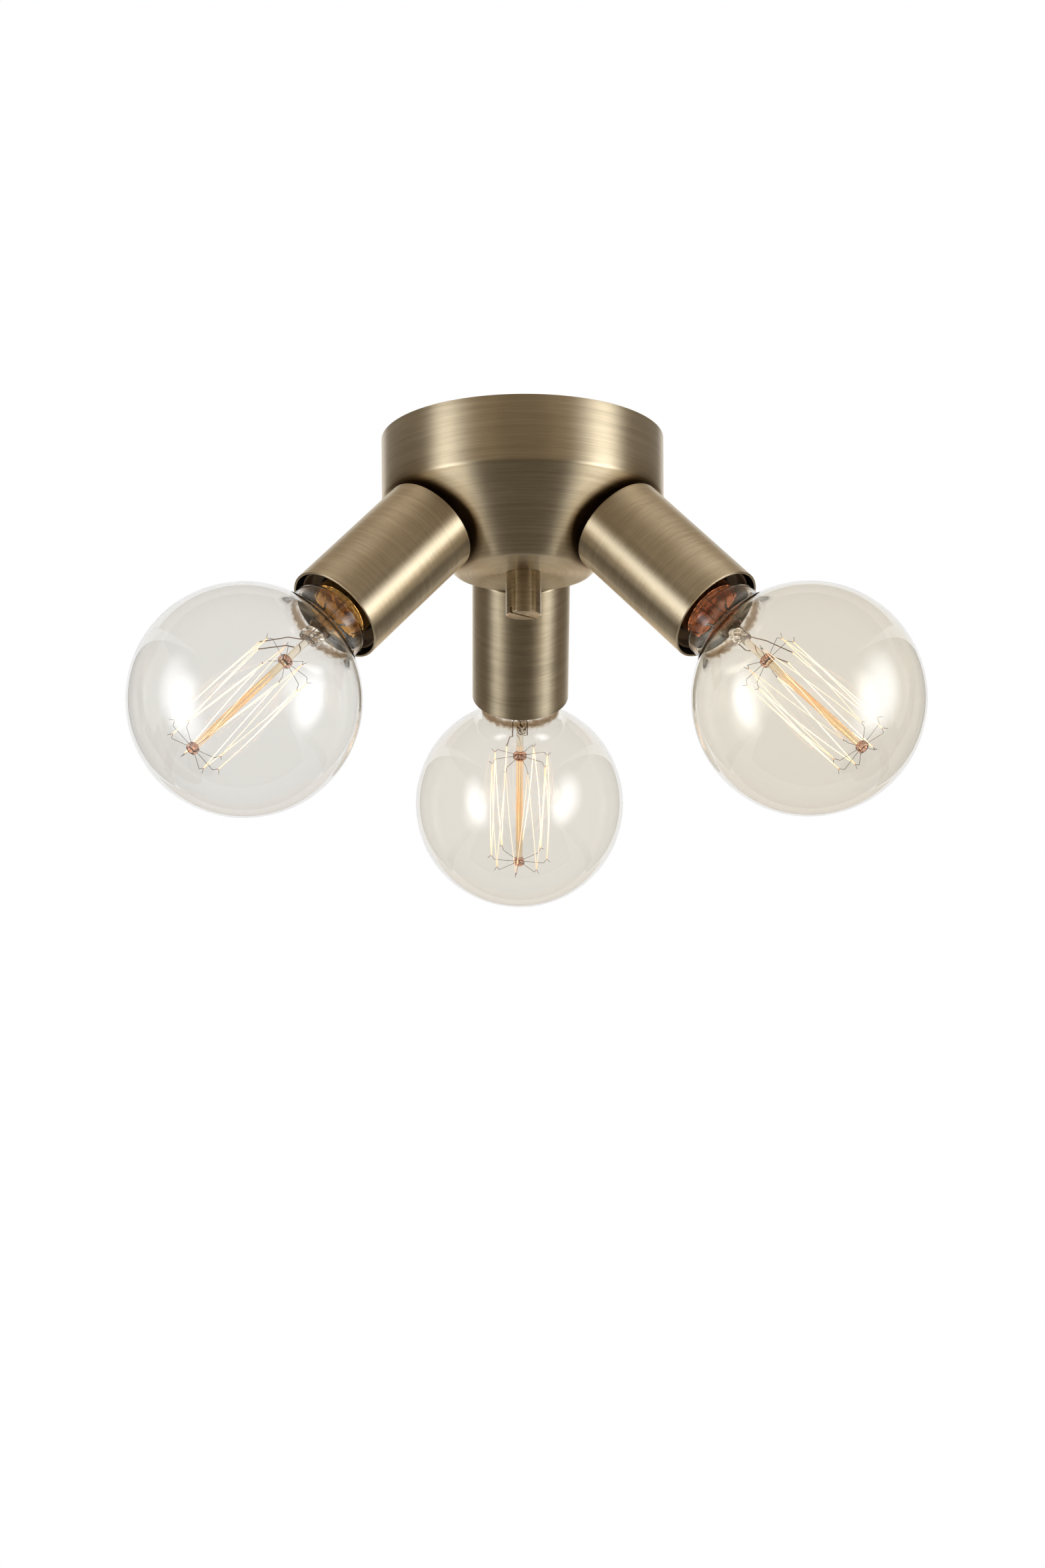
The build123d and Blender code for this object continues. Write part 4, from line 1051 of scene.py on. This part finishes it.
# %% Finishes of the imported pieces
zinc = plain_metal("zinc_plate", (0.42, 0.42, 0.40), (0.66, 0.66, 0.63), 0.34, 120.0)
tinned = plain_metal("tinned_copper", (0.52, 0.50, 0.47), (0.74, 0.72, 0.68), 0.3, 300.0)
bright_brass = plain_metal("bright_brass", (0.58, 0.40, 0.14), (0.86, 0.66, 0.32), 0.26, 200.0)
solder = plain_metal("solder_tip", (0.42, 0.42, 0.42), (0.62, 0.62, 0.62), 0.4, 700.0)
nickel = plain_metal("nickel_wire", (0.16, 0.11, 0.07), (0.36, 0.27, 0.19), 0.3, 900.0)
white_moulding = moulded("white_moulding", (0.80, 0.80, 0.77), 0.38, 0.05)
porcelain = moulded("holder_porcelain", (0.80, 0.79, 0.75), 0.3, 0.05, 0.3)
black_glass = moulded("cap_black_glass", (0.015, 0.014, 0.016), 0.1, 0.01, 0.5)
brown_sheath = moulded("lead_brown", (0.13, 0.055, 0.028), 0.42, 0.04)
blue_sheath = moulded("lead_blue", (0.03, 0.10, 0.36), 0.42, 0.04)
earth_sheath = moulded("lead_green_yellow", (0.20, 0.42, 0.04), 0.42, 0.04)
spacer_brass = brushed_brass("aged_brass_spacer", upright)

zinc_plated = "ceiling_bracket centre_stud stud_nuts stud_washer threaded_nipples nipple_nuts saddle_washers"
screws = "clamp_screws block_screws earth_screw holder_screws"
finishes = dict.fromkeys(f"{zinc_plated} {screws}".split(), zinc)
finishes.update(dict.fromkeys(("terminal_barrels", "centre_contacts", "side_contacts"), bright_brass))
finishes.update(earth_tag=tinned, terminal_block=white_moulding, saddle_spacers=spacer_brass)
finishes.update(earth_lead=earth_sheath, live_leads=brown_sheath, neutral_leads=blue_sheath)
for side in places:
    finishes[f"holder_dome_{side}"] = black_moulding
    finishes[f"holder_insert_{side}"] = porcelain
    finishes[f"cap_insulator_{side}"] = black_glass
    finishes[f"tip_contact_{side}"] = solder
    finishes[f"lead_in_wires_{side}"] = nickel
for name, finish in finishes.items():
    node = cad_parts[name]
    node.data.materials.clear()
    node.data.materials.append(finish)
print(len(finishes), "packed pieces got a finish")
